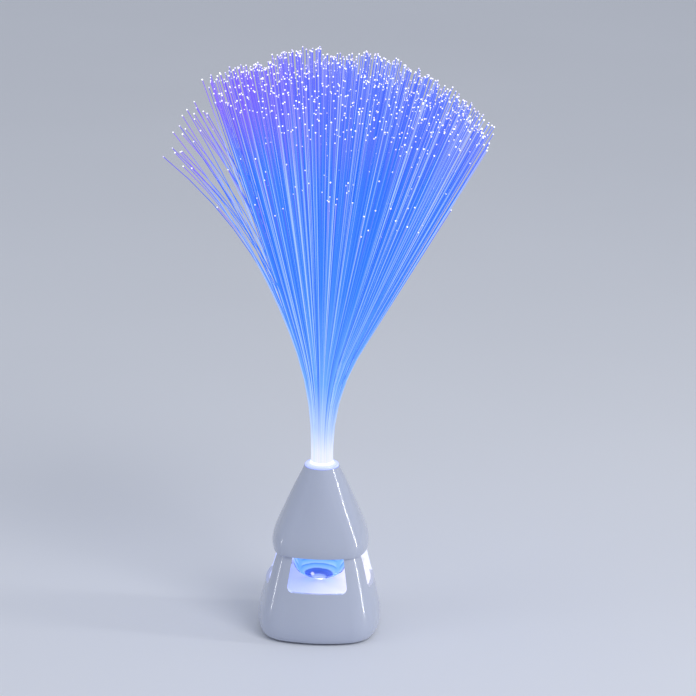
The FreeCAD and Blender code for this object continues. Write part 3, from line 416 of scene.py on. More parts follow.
@dataclass(frozen=True)
class PlatedMetal:
    """Plated steel, brushed along one axis or tumbled, with darker streaks and patches at random."""

    name: str
    grain: Grain = Grain.PLATED
    tint: Colour = (0.62, 0.63, 0.65)

    def material(self) -> bpy.types.Material:
        """Builds the finish."""
        coat = Coat(self.name, Metallic=1.0)
        stretch = (300.0, 3500.0, 3500.0) if self.grain is Grain.ROLLED else (900.0, 900.0, 900.0)
        streak = coat.noise(1.0, 3.0, coat.stretched(stretch))
        shade = [(0.2, tuple(0.7 * c for c in self.tint)), (0.7, self.tint)]
        coat.feed("Base Color", coat.ramp(streak, shade))
        coat.feed("Roughness", streak * 0.25 + 0.2)
        coat.bumped(streak, 0.01 * MM, 0.4)
        return coat.material


@dataclass(frozen=True)
class CellSleeve:
    """A plain dry cell: a dark shrunk sleeve, a copper band at one end and bright steel ends."""

    name: str
    low: float
    high: float

    def material(self) -> bpy.types.Material:
        """Builds the finish."""
        coat = Coat(self.name, Coat_Weight=0.4, Coat_Roughness=0.1)
        length = self.high - self.low
        along = (coat.axis("X") - self.low) / length
        bands = [
            (0.0, (0.62, 0.62, 0.63)),
            (0.03, (0.045, 0.05, 0.06)),
            (0.68, (0.05, 0.055, 0.065)),
            (0.7, (0.55, 0.24, 0.09)),
            (0.92, (0.6, 0.27, 0.1)),
            (0.95, (0.66, 0.66, 0.67)),
        ]
        coat.feed("Base Color", coat.ramp(along + (coat.noise(300.0) - 0.5) * 0.004, bands))
        ends = along.rising(0.03, 0.02) + along.rising(0.94, 0.95)
        coat.feed("Metallic", (ends + along.above(0.69) * 0.8).at_most(1.0))
        coat.feed("Roughness", coat.noise(500.0) * 0.15 + 0.22)
        coat.bumped(coat.noise(260.0, 1.0), 0.03 * MM, 0.3)
        return coat.material


@dataclass(frozen=True)
class SolderMask:
    """A green circuit board with paler tracks under the mask."""

    name: str = "solder_mask"

    def material(self) -> bpy.types.Material:
        """Builds the finish."""
        coat = Coat(self.name, Roughness=0.3, Coat_Weight=0.3, Coat_Roughness=0.15)
        tracks = []
        for name, shift in (("X", 0.0), ("Y", 0.4)):
            wobble = coat.noise(140.0, 0.0) * 6.0
            wave = (coat.axis(name) * 1900.0 + wobble.floor() * 1.3 + shift).sin()
            tracks.append(wave.rising(0.55, 0.7))
        gate = coat.noise(90.0, 0.0).above(0.5)
        track = tracks[0] * gate + tracks[1] * gate.less_from(1.0)
        coat.feed("Base Color", coat.mixed(track, (0.012, 0.11, 0.045), (0.03, 0.22, 0.09)))
        coat.bumped(track, 0.03 * MM, 0.6)
        return coat.material


@dataclass(frozen=True)
class ClearLens:
    """Polished clear acrylic with painted blue light: a painted ringed image of the source and a painted
    glint towards each window.

    The image lies in a plane that slopes up from each window. Its rings touch at their lowest point.
    """

    name: str = "clear_lens"
    slope: float = math.radians(16.0)
    low: float = 28.9 * MM
    least: float = 0.1 * MM
    flatness: float = 0.42
    reach: float = 20 * MM
    ripple: float = 0.03
    blend_from: float = 0.5 * MM
    blend_to: float = 4.0 * MM
    plain: Colour = (0.14, 0.42, 1.0)
    glint: tuple[float, float] = (-3.6 * MM, 3.3 * MM)

    def material(self) -> bpy.types.Material:
        """Builds the finish."""
        coat = Coat(
            self.name, IOR=1.49, Transmission_Weight=0.2, Roughness=0.04, Coat_Weight=0.8,
            Coat_Roughness=0.02, Emission_Strength=0.75,
        )
        x, y = coat.axis("X"), coat.axis("Y")
        endways = x.size().above(y.size())
        aside = y * x.worked("SIGN") * endways - x * y.worked("SIGN") * endways.less_from(1.0)
        toward = x.size().at_least(y.size())
        above = coat.axis("Z") * math.cos(self.slope) - toward * math.sin(self.slope) - self.low
        above = above.at_least(self.least)
        ring = (aside * aside + above * above / self.flatness**2) / above * (self.flatness / 2)
        share = ring / self.reach + (coat.noise(300.0) - 0.5) * self.ripple
        # Painted light: the source's rings as seen through the lens, in dark and pale blue bands.
        image = [
            (0.0, (0.10, 0.20, 0.80)),
            (0.10, (0.50, 0.58, 1.0)),
            (0.19, (0.26, 0.38, 0.95)),
            (0.24, (0.0, 0.03, 0.40)),
            (0.35, (0.0, 0.06, 0.58)),
            (0.40, (0.0, 0.04, 0.45)),
            (0.44, (0.30, 0.58, 1.0)),
            (0.54, (0.12, 0.40, 1.0)),
            (0.58, (0.01, 0.16, 0.80)),
            (0.61, (0.34, 0.62, 1.0)),
            (0.72, (0.12, 0.42, 1.0)),
            (0.76, (0.02, 0.20, 0.85)),
            (0.80, (0.30, 0.58, 1.0)),
            (1.0, (0.20, 0.46, 1.0)),
        ]
        # Between the windows the lens glows a plain painted blue.
        beside = (x.size() - y.size()).size().rising(self.blend_from, self.blend_to)
        light = coat.mixed(beside, self.plain, coat.ramp(share, image))
        # A painted white glint to one side of the image's middle.
        spot = (aside - self.glint[0]) ** 2.0 + (above - self.glint[1]) ** 2.0
        light = coat.mixed((spot.root() / MM).rising(1.5, 0.5) * 0.9, light, WHITE)
        coat.feed("Emission Color", light)
        # The base colour follows the painted image too, darker in its inner rings.
        shade = [(0.3, (0.03, 0.08, 0.35)), (0.7, (0.08, 0.20, 0.50))]
        coat.feed("Base Color", coat.ramp(share, shade))
        coat.bumped(coat.noise(700.0, 1.0), 0.01 * MM, 0.3)
        return coat.material


@dataclass(frozen=True)
class LitCollar:
    """Frosted clear plastic that carries light round the fibres' roots, painted on as a glow that is
    brightest at its middle.
    """

    name: str = "lit_collar"
    bright: float = 6.5 * MM
    rim: float = 10.0 * MM

    def material(self) -> bpy.types.Material:
        """Builds the finish."""
        coat = Coat(self.name, Roughness=0.3, Coat_Weight=0.6, Coat_Roughness=0.08, Emission_Strength=0.75)
        x, y = coat.axis("X"), coat.axis("Y")
        out = ((x * x + y * y).root() / self.rim) + (coat.noise(200.0) - 0.5) * 0.03
        share = self.bright / self.rim
        # Painted light: white near the middle, blue towards the rim.
        light = [(share, (0.90, 0.92, 1.0)), (share + 0.15, (0.42, 0.46, 1.0)), (0.98, (0.26, 0.33, 0.95))]
        shade = [(0.3, (0.50, 0.54, 0.85)), (0.7, (0.58, 0.62, 0.92))]
        coat.feed("Base Color", coat.ramp(coat.noise(80.0), shade))
        coat.feed("Emission Color", coat.ramp(out, light))
        coat.bumped(coat.noise(900.0), 0.02 * MM, 0.5)
        return coat.material


@dataclass(frozen=True)
class FibreGlow:
    """Clear fibre lit from below: white at the root, sky blue along it, violet near its end."""

    name: str = "fibre_glow"
    strength: float = 0.85
    streak: Colour = (0.62, 0.80, 1.0)
    streak_share: float = 0.75
    deep: Colour = (0.015, 0.12, 0.85)
    deep_share: float = 0.7
    violet: Colour = (0.27, 0.06, 0.85)

    def material(self) -> bpy.types.Material:
        """Builds the finish."""
        coat = Coat(self.name, Roughness=0.25, Specular_IOR_Level=0.4, Emission_Strength=self.strength)
        along, tone = coat.attribute("along"), coat.attribute("tone")
        left = coat.axis("X").rising(30 * MM, -70 * MM)
        body = [
            (0.0, (1.0, 0.98, 1.0)),
            (0.03, (0.92, 0.94, 1.0)),
            (0.09, (0.55, 0.70, 1.0)),
            (0.22, (0.16, 0.42, 1.0)),
            (0.5, (0.04, 0.24, 1.0)),
            (0.85, (0.03, 0.19, 1.0)),
            (1.0, (0.08, 0.20, 1.0)),
        ]
        light = coat.ramp(along, body)
        light = coat.mixed(tone.rising(0.68, 1.0) * self.streak_share, light, self.streak)
        dimmed = tone.rising(0.38, 0.0) * along.rising(0.03, 0.3) * self.deep_share
        light = coat.mixed(dimmed, light, self.deep)
        near_end = along.rising(0.78, 0.97) * (left * 0.75 + 0.25)
        light = coat.mixed(near_end * (tone * 0.5 + 0.5), light, self.violet)
        coat.feed("Emission Color", light)
        coat.feed("Base Color", coat.mixed(tone, (0.01, 0.03, 0.20), (0.08, 0.14, 0.40)))
        return coat.material


@dataclass(frozen=True)
class TipGlow:
    """The cut end of a fibre, where its light comes out: white with a little lavender."""

    name: str = "tip_glow"

    def material(self) -> bpy.types.Material:
        """Builds the finish."""
        coat = Coat(self.name, Roughness=0.4, Emission_Strength=1.1)
        tone = coat.attribute("tone")
        light = [(0.0, (0.62, 0.52, 1.0)), (0.45, (0.86, 0.86, 1.0)), (1.0, WHITE)]
        coat.feed("Emission Color", coat.ramp(tone, light))
        coat.feed("Base Color", coat.ramp(tone, [(0.0, (0.45, 0.4, 0.8)), (1.0, (0.7, 0.72, 0.9))]))
        return coat.material


@dataclass(frozen=True)
class WireJacket:
    """Soft vinyl wire cover with a slight bloom."""

    name: str
    tint: Colour

    def material(self) -> bpy.types.Material:
        """Builds the finish."""
        coat = Coat(self.name, Specular_IOR_Level=0.4, Sheen_Weight=0.1)
        shade = [(0.3, tuple(0.7 * c for c in self.tint)), (0.7, self.tint)]
        coat.feed("Base Color", coat.ramp(coat.noise(350.0, 3.0), shade))
        coat.feed("Roughness", coat.noise(900.0) * 0.2 + 0.4)
        coat.bumped(coat.noise(1200.0), 0.02 * MM, 0.4)
        return coat.material


@dataclass(frozen=True)
class LitEmitter:
    """The clear epoxy dome of the light source, lit from its chips."""

    name: str = "lit_emitter"

    def material(self) -> bpy.types.Material:
        """Builds the finish."""
        coat = Coat(self.name, Roughness=0.08, Coat_Weight=0.5, Emission_Strength=3.0)
        blotch = coat.cells(420.0)
        coat.feed("Emission Color", coat.ramp(blotch, [(0.1, WHITE), (0.7, (0.45, 0.6, 1.0))]))
        coat.feed("Base Color", coat.ramp(blotch, [(0.1, (0.9, 0.9, 0.8)), (0.7, (0.6, 0.7, 0.9))]))
        return coat.material


# Geometry


def linked(name: str, data: bpy.types.ID) -> bpy.types.Object:
    """Returns a new object of this data that is linked to the scene."""
    piece = bpy.data.objects.new(name, data)
    bpy.context.scene.collection.objects.link(piece)
    return piece


class Sketch:
    """A Geometry Nodes tree under construction, with named inputs."""

    def __init__(self, name: str, **inputs: float | int) -> None:
        """Starts the tree.

        Args:
            name: The tree's name.
            inputs: Named inputs and their values, whole numbers for counts and seeds.
        """
        self.tree = bpy.data.node_groups.new(name, "GeometryNodeTree")
        self.tree.interface.new_socket("Geometry", in_out="OUTPUT", socket_type="NodeSocketGeometry")
        for title, value in inputs.items():
            kind = "NodeSocketInt" if isinstance(value, int) else "NodeSocketFloat"
            self.tree.interface.new_socket(title, in_out="INPUT", socket_type=kind)
        self.values = inputs
        self.entry = self.add("NodeGroupInput")
        self.finish = self.add("NodeGroupOutput")

    def add(self, kind: str, **settings: object) -> bpy.types.Node:
        """Returns a new node with these settings."""
        node = self.tree.nodes.new(kind)
        for setting, value in settings.items():
            setattr(node, setting, value)
        return node

    def join(self, source: Term | bpy.types.NodeSocket | float, target: bpy.types.NodeSocket) -> None:
        """Links a term or a socket to an input, or sets the input's plain value."""
        if isinstance(source, Term):
            source = source.socket
        if isinstance(source, bpy.types.NodeSocket):
            self.tree.links.new(source, target)
        else:
            target.default_value = source

    def given(self, title: str) -> Term:
        """Returns a named input as a term."""
        return Term(self.tree, self.entry.outputs[title])

    def index(self) -> Term:
        """Returns the point's index."""
        return Term(self.tree, self.add("GeometryNodeInputIndex").outputs[0])

    def chance(self, key: Term, seed: int, low: float = 0.0, high: float = 1.0) -> Term:
        """Returns a random number between low and high that is the same for the same key."""
        node = self.add("FunctionNodeRandomValue", data_type="FLOAT")
        floats = [s for s in node.inputs if s.type == "VALUE"]
        floats[0].default_value = low
        floats[1].default_value = high
        self.join(key, node.inputs["ID"])
        self.join(self.given("Seed") + float(seed), node.inputs["Seed"])
        return Term(self.tree, node.outputs[1])

    def point(self, x: Term | float, y: Term | float, z: Term | float) -> bpy.types.NodeSocket:
        """Returns a vector socket of three terms."""
        node = self.add("ShaderNodeCombineXYZ")
        for term, socket in zip((x, y, z), node.inputs):
            self.join(term, socket)
        return node.outputs[0]

    def stored(self, geometry: bpy.types.NodeSocket, title: str, term: Term) -> bpy.types.NodeSocket:
        """Returns the geometry with a number stored on each of its points."""
        node = self.add("GeometryNodeStoreNamedAttribute", data_type="FLOAT", domain="POINT")
        self.join(geometry, node.inputs["Geometry"])
        node.inputs["Name"].default_value = title
        self.join(term, next(s for s in node.inputs if s.name == "Value" and s.enabled))
        return node.outputs[0]

    def tube(self, line: bpy.types.NodeSocket, radius: Term, sides: int) -> bpy.types.NodeSocket:
        """Returns a closed tube of this radius and number of sides along a curve."""
        circle = self.add("GeometryNodeCurvePrimitiveCircle")
        circle.inputs["Resolution"].default_value = sides
        self.join(radius, circle.inputs["Radius"])
        tube = self.add("GeometryNodeCurveToMesh")
        self.join(line, tube.inputs["Curve"])
        self.join(circle.outputs[0], tube.inputs["Profile Curve"])
        tube.inputs["Fill Caps"].default_value = True
        return tube.outputs[0]

    def close(self, geometry: bpy.types.NodeSocket, material: bpy.types.Material) -> None:
        """Ends the tree: real geometry, smooth, with its material."""
        real = self.add("GeometryNodeRealizeInstances")
        self.join(geometry, real.inputs[0])
        smooth = self.add("GeometryNodeSetShadeSmooth")
        self.join(real.outputs[0], smooth.inputs["Geometry"])
        dressed = self.add("GeometryNodeSetMaterial")
        dressed.inputs["Material"].default_value = material
        self.join(smooth.outputs[0], dressed.inputs["Geometry"])
        self.join(dressed.outputs[0], self.finish.inputs[0])

    def grown(self, name: str) -> bpy.types.Object:
        """Runs the tree once.

        Args:
            name: The finished piece's name.

        Returns:
            A plain mesh object at the origin, linked to the scene.
        """
        holder = linked(name + "_seed", bpy.data.meshes.new(name + "_seed"))
        modifier = holder.modifiers.new(name, "NODES")
        modifier.node_group = self.tree
        for item in self.tree.interface.items_tree:
            if item.in_out == "INPUT":
                modifier[item.identifier] = self.values[item.name]
        depsgraph = bpy.context.evaluated_depsgraph_get()
        depsgraph.update()
        mesh = bpy.data.meshes.new_from_object(
            holder.evaluated_get(depsgraph), preserve_all_data_layers=True, depsgraph=depsgraph
        )
        bpy.data.objects.remove(holder)
        mesh.name = name
        return linked(name, mesh)


@dataclass
class FibreSpray:
    """The spray of clear fibres that rises from the plug, fans out and ends in bright dots."""

    strands: int = 1380
    steps: int = 14
    root_radius: float = 6.3 * MM
    foot: float = 102.9 * MM
    upright: float = 8 * MM
    bend: float = 62 * MM
    length: float = 244.5 * MM
    spread: float = math.radians(24.35)
    lean: float = math.radians(5.0)
    dome_drop: float = 0.08
    stray_droop: float = math.radians(32.0)
    stray_trim: float = 0.11
    thickness: float = 0.22 * MM
    tip_radius: float = 0.43 * MM
    seed: int = 11
    play: float = 0.016
    least_tilt: float = 0.002
    least_droop: float = 0.004
    bunches: float = 4.0
    bunch_trim: float = 0.955
    fibre_trim: float = 0.985
    short_from: float = 0.80
    short_most: float = 0.30
    stray_side: float = 0.78
    stray_from: float = 0.62
    least_limp: float = 0.3
    crowding: float = 1.25
    sides: int = 5
    bead_segments: int = 8
    bead_rings: int = 5
    bead_least: float = 0.7
    bead_most: float = 1.15

    def sketch(self, name: str) -> Sketch:
        """Returns a new tree with the spray's sizes as its named inputs."""
        return Sketch(
            name,
            Strands=self.strands,
            Steps=self.steps,
            RootRadius=self.root_radius,
            Foot=self.foot,
            Upright=self.upright,
            Bend=self.bend,
            Length=self.length,
            Spread=self.spread,
            Lean=self.lean,
            DomeDrop=self.dome_drop,
            StrayDroop=self.stray_droop,
            StrayTrim=self.stray_trim,
            Thickness=self.thickness,
            TipRadius=self.tip_radius,
            Seed=self.seed,
        )

    def path(self, sketch: Sketch, strand: Term, share: Term) -> bpy.types.NodeSocket:
        """Works out a point of a fibre: upright at the root, an even bend, then straight or drooping.

        Args:
            sketch: The tree that the nodes go into.
            strand: The fibre's number.
            share: How far along the fibre the point is, from 0 to 1.

        Returns:
            The vector socket of the point, in metres.
        """
        out = ((strand + 0.5) / sketch.given("Strands")).root()
        turn = strand * GOLDEN_ANGLE
        across, away = out * turn.cos(), out * turn.sin()
        spread, lean = sketch.given("Spread"), sketch.given("Lean")
        tilt_x = spread * across + lean + sketch.chance(strand, 1, -self.play, self.play)
        tilt_y = spread * away + sketch.chance(strand, 2, -self.play, self.play)
        tilt = (tilt_x * tilt_x + tilt_y * tilt_y).root().at_least(self.least_tilt)
        reach = tilt / (spread + lean)
        bunch = (across * self.bunches).floor() * 17.0 + (away * self.bunches).floor() * 5.0
        trim = sketch.chance(bunch, 3, self.bunch_trim) * sketch.chance(strand, 4, self.fibre_trim)
        short = sketch.chance(strand, 5).above(self.short_from)
        short = short * sketch.chance(strand, 6, 0.0, self.short_most)
        full = sketch.given("Length") * trim * short.less_from(1.0)
        full = full * (reach * reach * sketch.given("DomeDrop")).less_from(1.0)
        stray = (across * -1.0).above(self.stray_side) * sketch.chance(strand, 7).above(self.stray_from)
        limp = stray * sketch.chance(strand, 8, self.least_limp)
        full = full * (limp * sketch.given("StrayTrim")).less_from(1.0)
        droop = limp * sketch.given("StrayDroop") + self.least_droop
        upright, bend = sketch.given("Upright"), sketch.given("Bend")
        gone = full * share
        first = (gone - upright).at_least(0.0).at_most(bend)
        second = (gone - upright - bend).at_least(0.0)
        turned = tilt * first / bend
        radius = bend / tilt
        droop_radius = (full - upright - bend) / droop
        drooped = tilt + second / droop_radius
        sideways = radius * turned.cos().less_from(1.0) + droop_radius * (tilt.cos() - drooped.cos())
        upwards = gone.at_most(upright) + radius * turned.sin()
        upwards = upwards + droop_radius * (drooped.sin() - tilt.sin())
        root = sketch.given("RootRadius")
        return sketch.point(
            root * across + tilt_x / tilt * sideways,
            root * away + tilt_y / tilt * sideways,
            sketch.given("Foot") + upwards,
        )

    def strands_piece(self, material: bpy.types.Material) -> bpy.types.Object:
        """Grows the fibres themselves."""
        sketch = self.sketch("fibre_strands_tree")
        index, steps = sketch.index(), sketch.given("Steps")
        strand = ((index + 0.5) / steps).floor()
        share = (index - strand * steps) / (steps - 1.0)
        curved = share**self.crowding
        points = sketch.add("GeometryNodePoints")
        sketch.join(sketch.given("Strands") * steps, points.inputs["Count"])
        sketch.join(self.path(sketch, strand, curved), points.inputs["Position"])
        cloud = sketch.stored(points.outputs[0], "along", curved)
        cloud = sketch.stored(cloud, "tone", sketch.chance(strand, 9))
        lines = sketch.add("GeometryNodePointsToCurves")
        sketch.join(cloud, lines.inputs["Points"])
        sketch.join(strand, lines.inputs["Curve Group ID"])
        sketch.join(share, lines.inputs["Weight"])
        tube = sketch.tube(lines.outputs[0], sketch.given("Thickness"), self.sides)
        sketch.close(tube, material)
        return sketch.grown("fibre_spray")

    def tips_piece(self, material: bpy.types.Material) -> bpy.types.Object:
        """Grows a bright bead at the end of every fibre."""
        sketch = self.sketch("fibre_tips_tree")
        strand = sketch.index()
        points = sketch.add("GeometryNodePoints")
        sketch.join(sketch.given("Strands"), points.inputs["Count"])
        end = strand * 0.0 + 0.999
        sketch.join(self.path(sketch, strand, end), points.inputs["Position"])
        cloud = sketch.stored(points.outputs[0], "tone", sketch.chance(strand, 9))
        bead = sketch.add("GeometryNodeMeshUVSphere")
        bead.inputs["Segments"].default_value = self.bead_segments
        bead.inputs["Rings"].default_value = self.bead_rings
        sketch.join(sketch.given("TipRadius"), bead.inputs["Radius"])
        placed = sketch.add("GeometryNodeInstanceOnPoints")
        sketch.join(cloud, placed.inputs["Points"])
        sketch.join(bead.outputs[0], placed.inputs["Instance"])
        size = sketch.chance(strand, 10, self.bead_least, self.bead_most)
        sketch.join(sketch.point(size, size, size), placed.inputs["Scale"])
        sketch.close(placed.outputs[0], material)
        return sketch.grown("fibre_tips")

    def build(self) -> list[bpy.types.Object]:
        """Makes both pieces and sets them on the plug.

        Returns:
            The finished pieces.
        """
        spray = self.strands_piece(FibreGlow().material())
        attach(spray, Body.PLUG.value)
        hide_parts("fibre_strands")
        tips = self.tips_piece(TipGlow().material())
        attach(tips, Body.PLUG.value)
        return [spray, tips]


@dataclass
class ContactCoils:
    """The conical coil springs that press on the cells' flat ends."""

    nodes: tuple[str, ...] = ("contact_spring_1", "contact_spring_2", "contact_spring_3")
    turns: float = 4.0
    wire: float = 0.28 * MM
    inset: float = 1.2
    taper: float = 0.6
    steps: int = 20
    sides: int = 8

    def coil(self, node: str, material: bpy.types.Material) -> bpy.types.Object:
        """Winds one spring inside the space of its node.

        Args:
            node: The name of the node that the coil stands for.
            material: The spring's finish.

        Returns:
            The finished piece.
        """
        low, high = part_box(node)
        middle, size = (low + high) / 2, high - low
        axis = min(range(3), key=lambda a: abs(size[a] - sorted(size)[0]))
        inset = self.inset * self.wire
        wide = max(size) / 2 - inset
        rise = size[axis] - 2 * inset
        sketch = Sketch(node + "_tree", Turns=self.turns, Wide=wide, Wire=self.wire, Rise=rise)
        spiral = sketch.add("GeometryNodeCurveSpiral")
        spiral.inputs["Resolution"].default_value = self.steps
        sketch.join(sketch.given("Turns"), spiral.inputs["Rotations"])
        sketch.join(sketch.given("Wide"), spiral.inputs["Start Radius"])
        sketch.join(sketch.given("Wide") * self.taper, spiral.inputs["End Radius"])
        sketch.join(sketch.given("Rise"), spiral.inputs["Height"])
        tube = sketch.tube(spiral.outputs[0], sketch.given("Wire"), self.sides)
        sketch.close(tube, material)
        piece = sketch.grown(node.replace("spring", "coil"))
        toward = Vector([float(a == axis) for a in range(3)])
        turned = Vector((0, 0, 1)).rotation_difference(toward)
        foot = middle.copy()
        foot[axis] = low[axis] + inset
        piece.data.transform(turned.to_matrix().to_4x4())
        for vertex in piece.data.vertices:
            vertex.co += foot
        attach(piece, Body.BASE.value)
        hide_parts(node)
        return piece

    def build(self) -> list[bpy.types.Object]:
        """Returns the finished springs."""
        material = PlatedMetal("spring_wire", tint=(0.70, 0.70, 0.72)).material()
        return [self.coil(node, material) for node in self.nodes]


@dataclass
class LensBody:
    """The clear lens over the source: a polished dome with turned grooves, and its clamping flange."""

    shoulder: float = 40.2 * MM
    depth: float = 9.0 * MM
    radius: float = 15.9 * MM
    flange_low: float = 49.3 * MM
    flange_high: float = 51.3 * MM
    flange_radius: float = 17.0 * MM
    groove_depth: float = 0.55 * MM
    groove_width: float = 2.2
    grooves: tuple[float, ...] = (32.0, 50.0, 68.0)
    around: int = 96
    down: int = 60

    def profile(self) -> list[tuple[float, float]]:
        """Returns the lens's outline, radius and height, from its lowest point to the middle of its top."""
        points = []
        for step in range(1, self.down + 1):
            degrees = 90.0 * step / self.down
            dip = sum(math.exp(-(((degrees - g) / self.groove_width) ** 2)) for g in self.grooves)
            reach = self.radius - self.groove_depth * dip
            angle = math.radians(degrees)
            points.append((reach * math.sin(angle), self.shoulder - self.depth * math.cos(angle)))
        points.append((self.radius, self.flange_low))
        points.append((self.flange_radius, self.flange_low))
        points.append((self.flange_radius, self.flange_high))
        points.append((self.radius * 0.5, self.flange_high))
        return points

    def build(self) -> list[bpy.types.Object]:
        """Turns the outline round the axis and closes it at both poles.

        Returns:
            The finished lens.
        """
        shape = bmesh.new()
        rings = []
        turns = [math.tau * k / self.around for k in range(self.around)]
        for reach, height in self.profile():
            places = [(reach * math.cos(t), reach * math.sin(t), height) for t in turns]
            rings.append([shape.verts.new(place) for place in places])
        low = shape.verts.new((0.0, 0.0, self.shoulder - self.depth))
        high = shape.verts.new((0.0, 0.0, self.flange_high))
        for k in range(self.around):
            after = (k + 1) % self.around
            shape.faces.new((low, rings[0][after], rings[0][k]))
            shape.faces.new((high, rings[-1][k], rings[-1][after]))
            for lower, upper in zip(rings, rings[1:]):
                shape.faces.new((lower[k], lower[after], upper[after], upper[k]))
        bmesh.ops.recalc_face_normals(shape, faces=shape.faces)
        for face in shape.faces:
            face.smooth = True
        mesh = bpy.data.meshes.new("lens_body")
        shape.to_mesh(mesh)
        shape.free()
        mesh.set_sharp_from_angle(angle=math.radians(40.0))
        mesh.materials.append(ClearLens().material())
        lens = linked("lens_body", mesh)
        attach(lens, Body.BASE.value)
        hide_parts("dome_lens")
        return [lens]


@dataclass
class CarriedParts:
    """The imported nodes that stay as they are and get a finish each."""

    dressed: int = 0

    def dress(self, material: bpy.types.Material, *names: str) -> None:
        """Puts a material on the named nodes, one name standing for all of a numbered set."""
        for name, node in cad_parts.items():
            if name.rstrip("_0123456789") in names:
                node.data.materials.clear()
                node.data.materials.append(material)
                self.dressed += 1

    def build(self) -> int:
        """Gives each node its finish.

        Returns:
            How many nodes were dressed.
        """
        places = ("base", "floor", "shroud", "board", "lamp_board", "socket", "switch")
        screws = [place + "_screws" for place in places]
        low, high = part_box("battery_1")
        for finish, *names in (
            (GlossMoulding(), "lower_housing", "shroud_cone"),
            (LitMoulding(), "chamber_floor", "lens_frame"),
            (LitMoulding("lit_funnel", 0.6, (0.35, 0.5, 1.0), (0.7, 0.8, 1.0)), "reflector_funnel"),
            (SatinMoulding("inner_moulding"), "base_plate", "battery_door", "fibre_socket"),
            (PlatedMetal("contact_strip", Grain.ROLLED, (0.7, 0.7, 0.7)), "contact_tab", "contact_spring"),
            (PlatedMetal("zinc_screws"), "door_screw", *screws),
            (SolderMask(), "circuit_board"),
            (LitMoulding("lit_board", 0.9), "lamp_board"),
            (SatinMoulding("dark_moulding", (0.03, 0.03, 0.035), 0.4, 1200.0), "controller_chip"),
            (SatinMoulding("switch_moulding", (0.035, 0.036, 0.04), 0.35), "switch_body"),
            (SatinMoulding("knob_moulding", (0.05, 0.052, 0.06), 0.3, 900.0), "switch_knob"),
            (SatinMoulding("resistor_lacquer", (0.55, 0.43, 0.26), 0.35, 700.0), "resistors"),
            (SatinMoulding("foot_rubber", (0.30, 0.31, 0.33), 0.8, 700.0), "foot"),
            (WireJacket("red_jacket", (0.42, 0.02, 0.02)), "battery_leads"),
            (WireJacket("black_jacket", (0.02, 0.02, 0.022)), "switch_leads"),
            (WireJacket("blue_jacket", (0.03, 0.08, 0.4)), "lamp_leads"),
            (PlatedMetal("capacitor_sleeve", tint=(0.08, 0.1, 0.22)), "buffer_capacitor"),
            (LitEmitter(), "lamp_emitter"),
            (LitCollar(), "plug_ferrule"),
            (LitMoulding("lit_bundle", 1.15, (0.85, 0.88, 1.0), (0.95, 0.95, 1.0)), "fibre_bundle"),
            (CellSleeve("cell_sleeve", low[0], high[0]), "battery"),
        ):
            self.dress(finish.material(), *names)
        return self.dressed


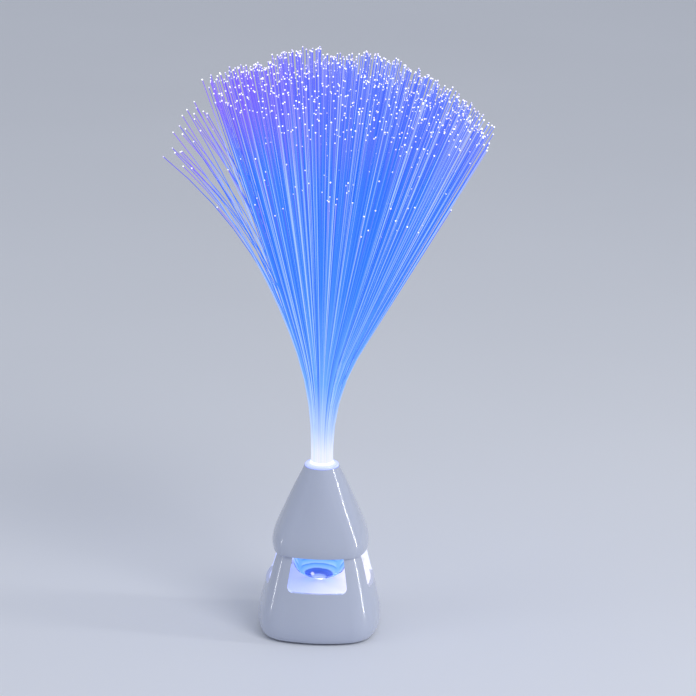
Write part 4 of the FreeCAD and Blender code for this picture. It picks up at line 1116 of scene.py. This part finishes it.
@dataclass
class Studio:
    """The pale floor, the soft lamps and the camera at the photograph's angle."""

    elevation: float = math.radians(16.0)
    azimuth: float = math.radians(3.0)
    distance: float = 2.0
    pixels: float = 696.0
    pixels_per_metre: float = 1687.5
    foot_pixel: tuple[float, float] = (319.4, 625.5)
    roll: float = math.radians(1.0)
    floor_tint: Colour = (0.82, 0.84, 0.89)
    floor_half: float = 8.0
    sky_tint: Colour = (0.72, 0.76, 0.85)
    sky_strength: float = 0.6
    backdrop_tint: Colour = (0.60, 0.63, 0.70)
    widest_strip: float = 0.5

    def camera(self) -> None:
        """Places the camera so that the lamp's foot falls on its pixel of the photograph."""
        e, a = self.elevation, self.azimuth
        back = Vector((math.sin(a) * math.cos(e), -math.cos(a) * math.cos(e), math.sin(e)))
        level = Vector((math.cos(a), math.sin(a), 0.0))
        upright = back.cross(level)
        right = level * math.cos(self.roll) + upright * math.sin(self.roll)
        up = upright * math.cos(self.roll) - level * math.sin(self.roll)
        half = self.pixels / 2
        aside = (half - self.foot_pixel[0]) / self.pixels_per_metre
        above = (self.foot_pixel[1] - half) / self.pixels_per_metre
        target = right * aside + up * above
        data = bpy.data.cameras.new("photo_camera")
        data.sensor_width = 36.0
        data.lens = 36.0 * self.distance * self.pixels_per_metre / self.pixels
        data.clip_end = 50.0
        camera = linked("photo_camera", data)
        camera.location = target + back * self.distance
        camera.rotation_euler = Matrix((right, up, back)).transposed().to_euler()
        bpy.context.scene.camera = camera

    def lamp(self, name: str, place: tuple, aim: tuple, size: tuple, power: float, tint: Colour) -> None:
        """Adds a rectangular lamp. Only a narrow strip shows in the shells' gloss.

        Args:
            name: The lamp's name.
            place: Where it hangs, in metres.
            aim: The point that it faces.
            size: Its width and height.
            power: Its power in watts.
            tint: Its colour.
        """
        data = bpy.data.lights.new(name, "AREA")
        data.shape = "RECTANGLE"
        data.size, data.size_y = size
        data.energy = power
        data.color = tint
        lamp = linked(name, data)
        lamp.location = place
        lamp.visible_glossy = min(size) < self.widest_strip
        lamp.rotation_euler = (Vector(aim) - Vector(place)).to_track_quat("-Z", "Y").to_euler()

    def lamps(self) -> None:
        """Hangs the soft key, the fill and the two narrow strips that draw the corners' highlights."""
        self.lamp("key", (1.1, -1.3, 1.6), (0, 0, 0.12), (1.0, 1.0), 16.0, (1.0, 0.99, 0.97))
        self.lamp("fill", (-1.4, -0.8, 1.1), (0, 0, 0.12), (0.9, 0.9), 3.0, (0.93, 0.96, 1.0))
        self.lamp("right_strip", (1.3, -0.12, 0.35), (0, 0, 0.06), (0.035, 1.0), 4.5, WHITE)
        self.lamp("left_strip", (-1.3, -0.12, 0.12), (0, 0, 0.05), (0.035, 0.26), 0.5, WHITE)

    def world(self) -> None:
        """Lights the scene evenly with a pale sky, behind a pale backdrop for what is seen directly."""
        world = bpy.data.worlds.new("studio_world")
        world.use_nodes = True
        tree = world.node_tree
        sky = tree.nodes["Background"]
        sky.inputs["Color"].default_value = (*self.sky_tint, 1.0)
        sky.inputs["Strength"].default_value = self.sky_strength
        backdrop = tree.nodes.new("ShaderNodeBackground")
        backdrop.inputs["Color"].default_value = (*self.backdrop_tint, 1.0)
        rays = tree.nodes.new("ShaderNodeLightPath")
        seen = Term(tree, rays.outputs["Is Camera Ray"]).at_least(Term(tree, rays.outputs["Is Glossy Ray"]))
        seen = seen.at_least(Term(tree, rays.outputs["Is Transmission Ray"]))
        blend = tree.nodes.new("ShaderNodeMixShader")
        tree.links.new(seen.socket, blend.inputs[0])
        tree.links.new(sky.outputs[0], blend.inputs[1])
        tree.links.new(backdrop.outputs[0], blend.inputs[2])
        tree.links.new(blend.outputs[0], tree.nodes["World Output"].inputs["Surface"])
        bpy.context.scene.world = world

    def floor(self) -> None:
        """Lays the pale floor."""
        mesh = bpy.data.meshes.new("floor")
        half = self.floor_half
        corners = [(-half, -half, 0), (half, -half, 0), (half, half, 0), (-half, half, 0)]
        mesh.from_pydata(corners, [], [(0, 1, 2, 3)])
        floor = linked("floor", mesh)
        coat = Coat("pale_floor", Roughness=0.6, Specular_IOR_Level=0.3)
        tint = self.floor_tint
        shades = [(0.3, tuple(0.98 * c for c in tint)), (0.7, tint)]
        coat.feed("Base Color", coat.ramp(coat.noise(3.0), shades))
        floor.data.materials.append(coat.material)

    def build(self) -> None:
        """Sets up everything round the lamp."""
        self.camera()
        self.lamps()
        self.world()
        self.floor()
        bpy.context.scene.view_settings.view_transform = "Standard"


def main() -> None:
    """Builds the studio, dresses the nodes and adds the pieces that stand for packed ones."""
    logging.basicConfig(level=logging.INFO, format="%(message)s")
    Studio().build()
    LOG.info("nodes dressed: %d", CarriedParts().build())
    for maker in (LensBody(), FibreSpray(), ContactCoils()):
        for piece in maker.build():
            LOG.info("%s: %d faces", piece.name, len(piece.data.polygons))


if __name__ == "__main__":
    main()
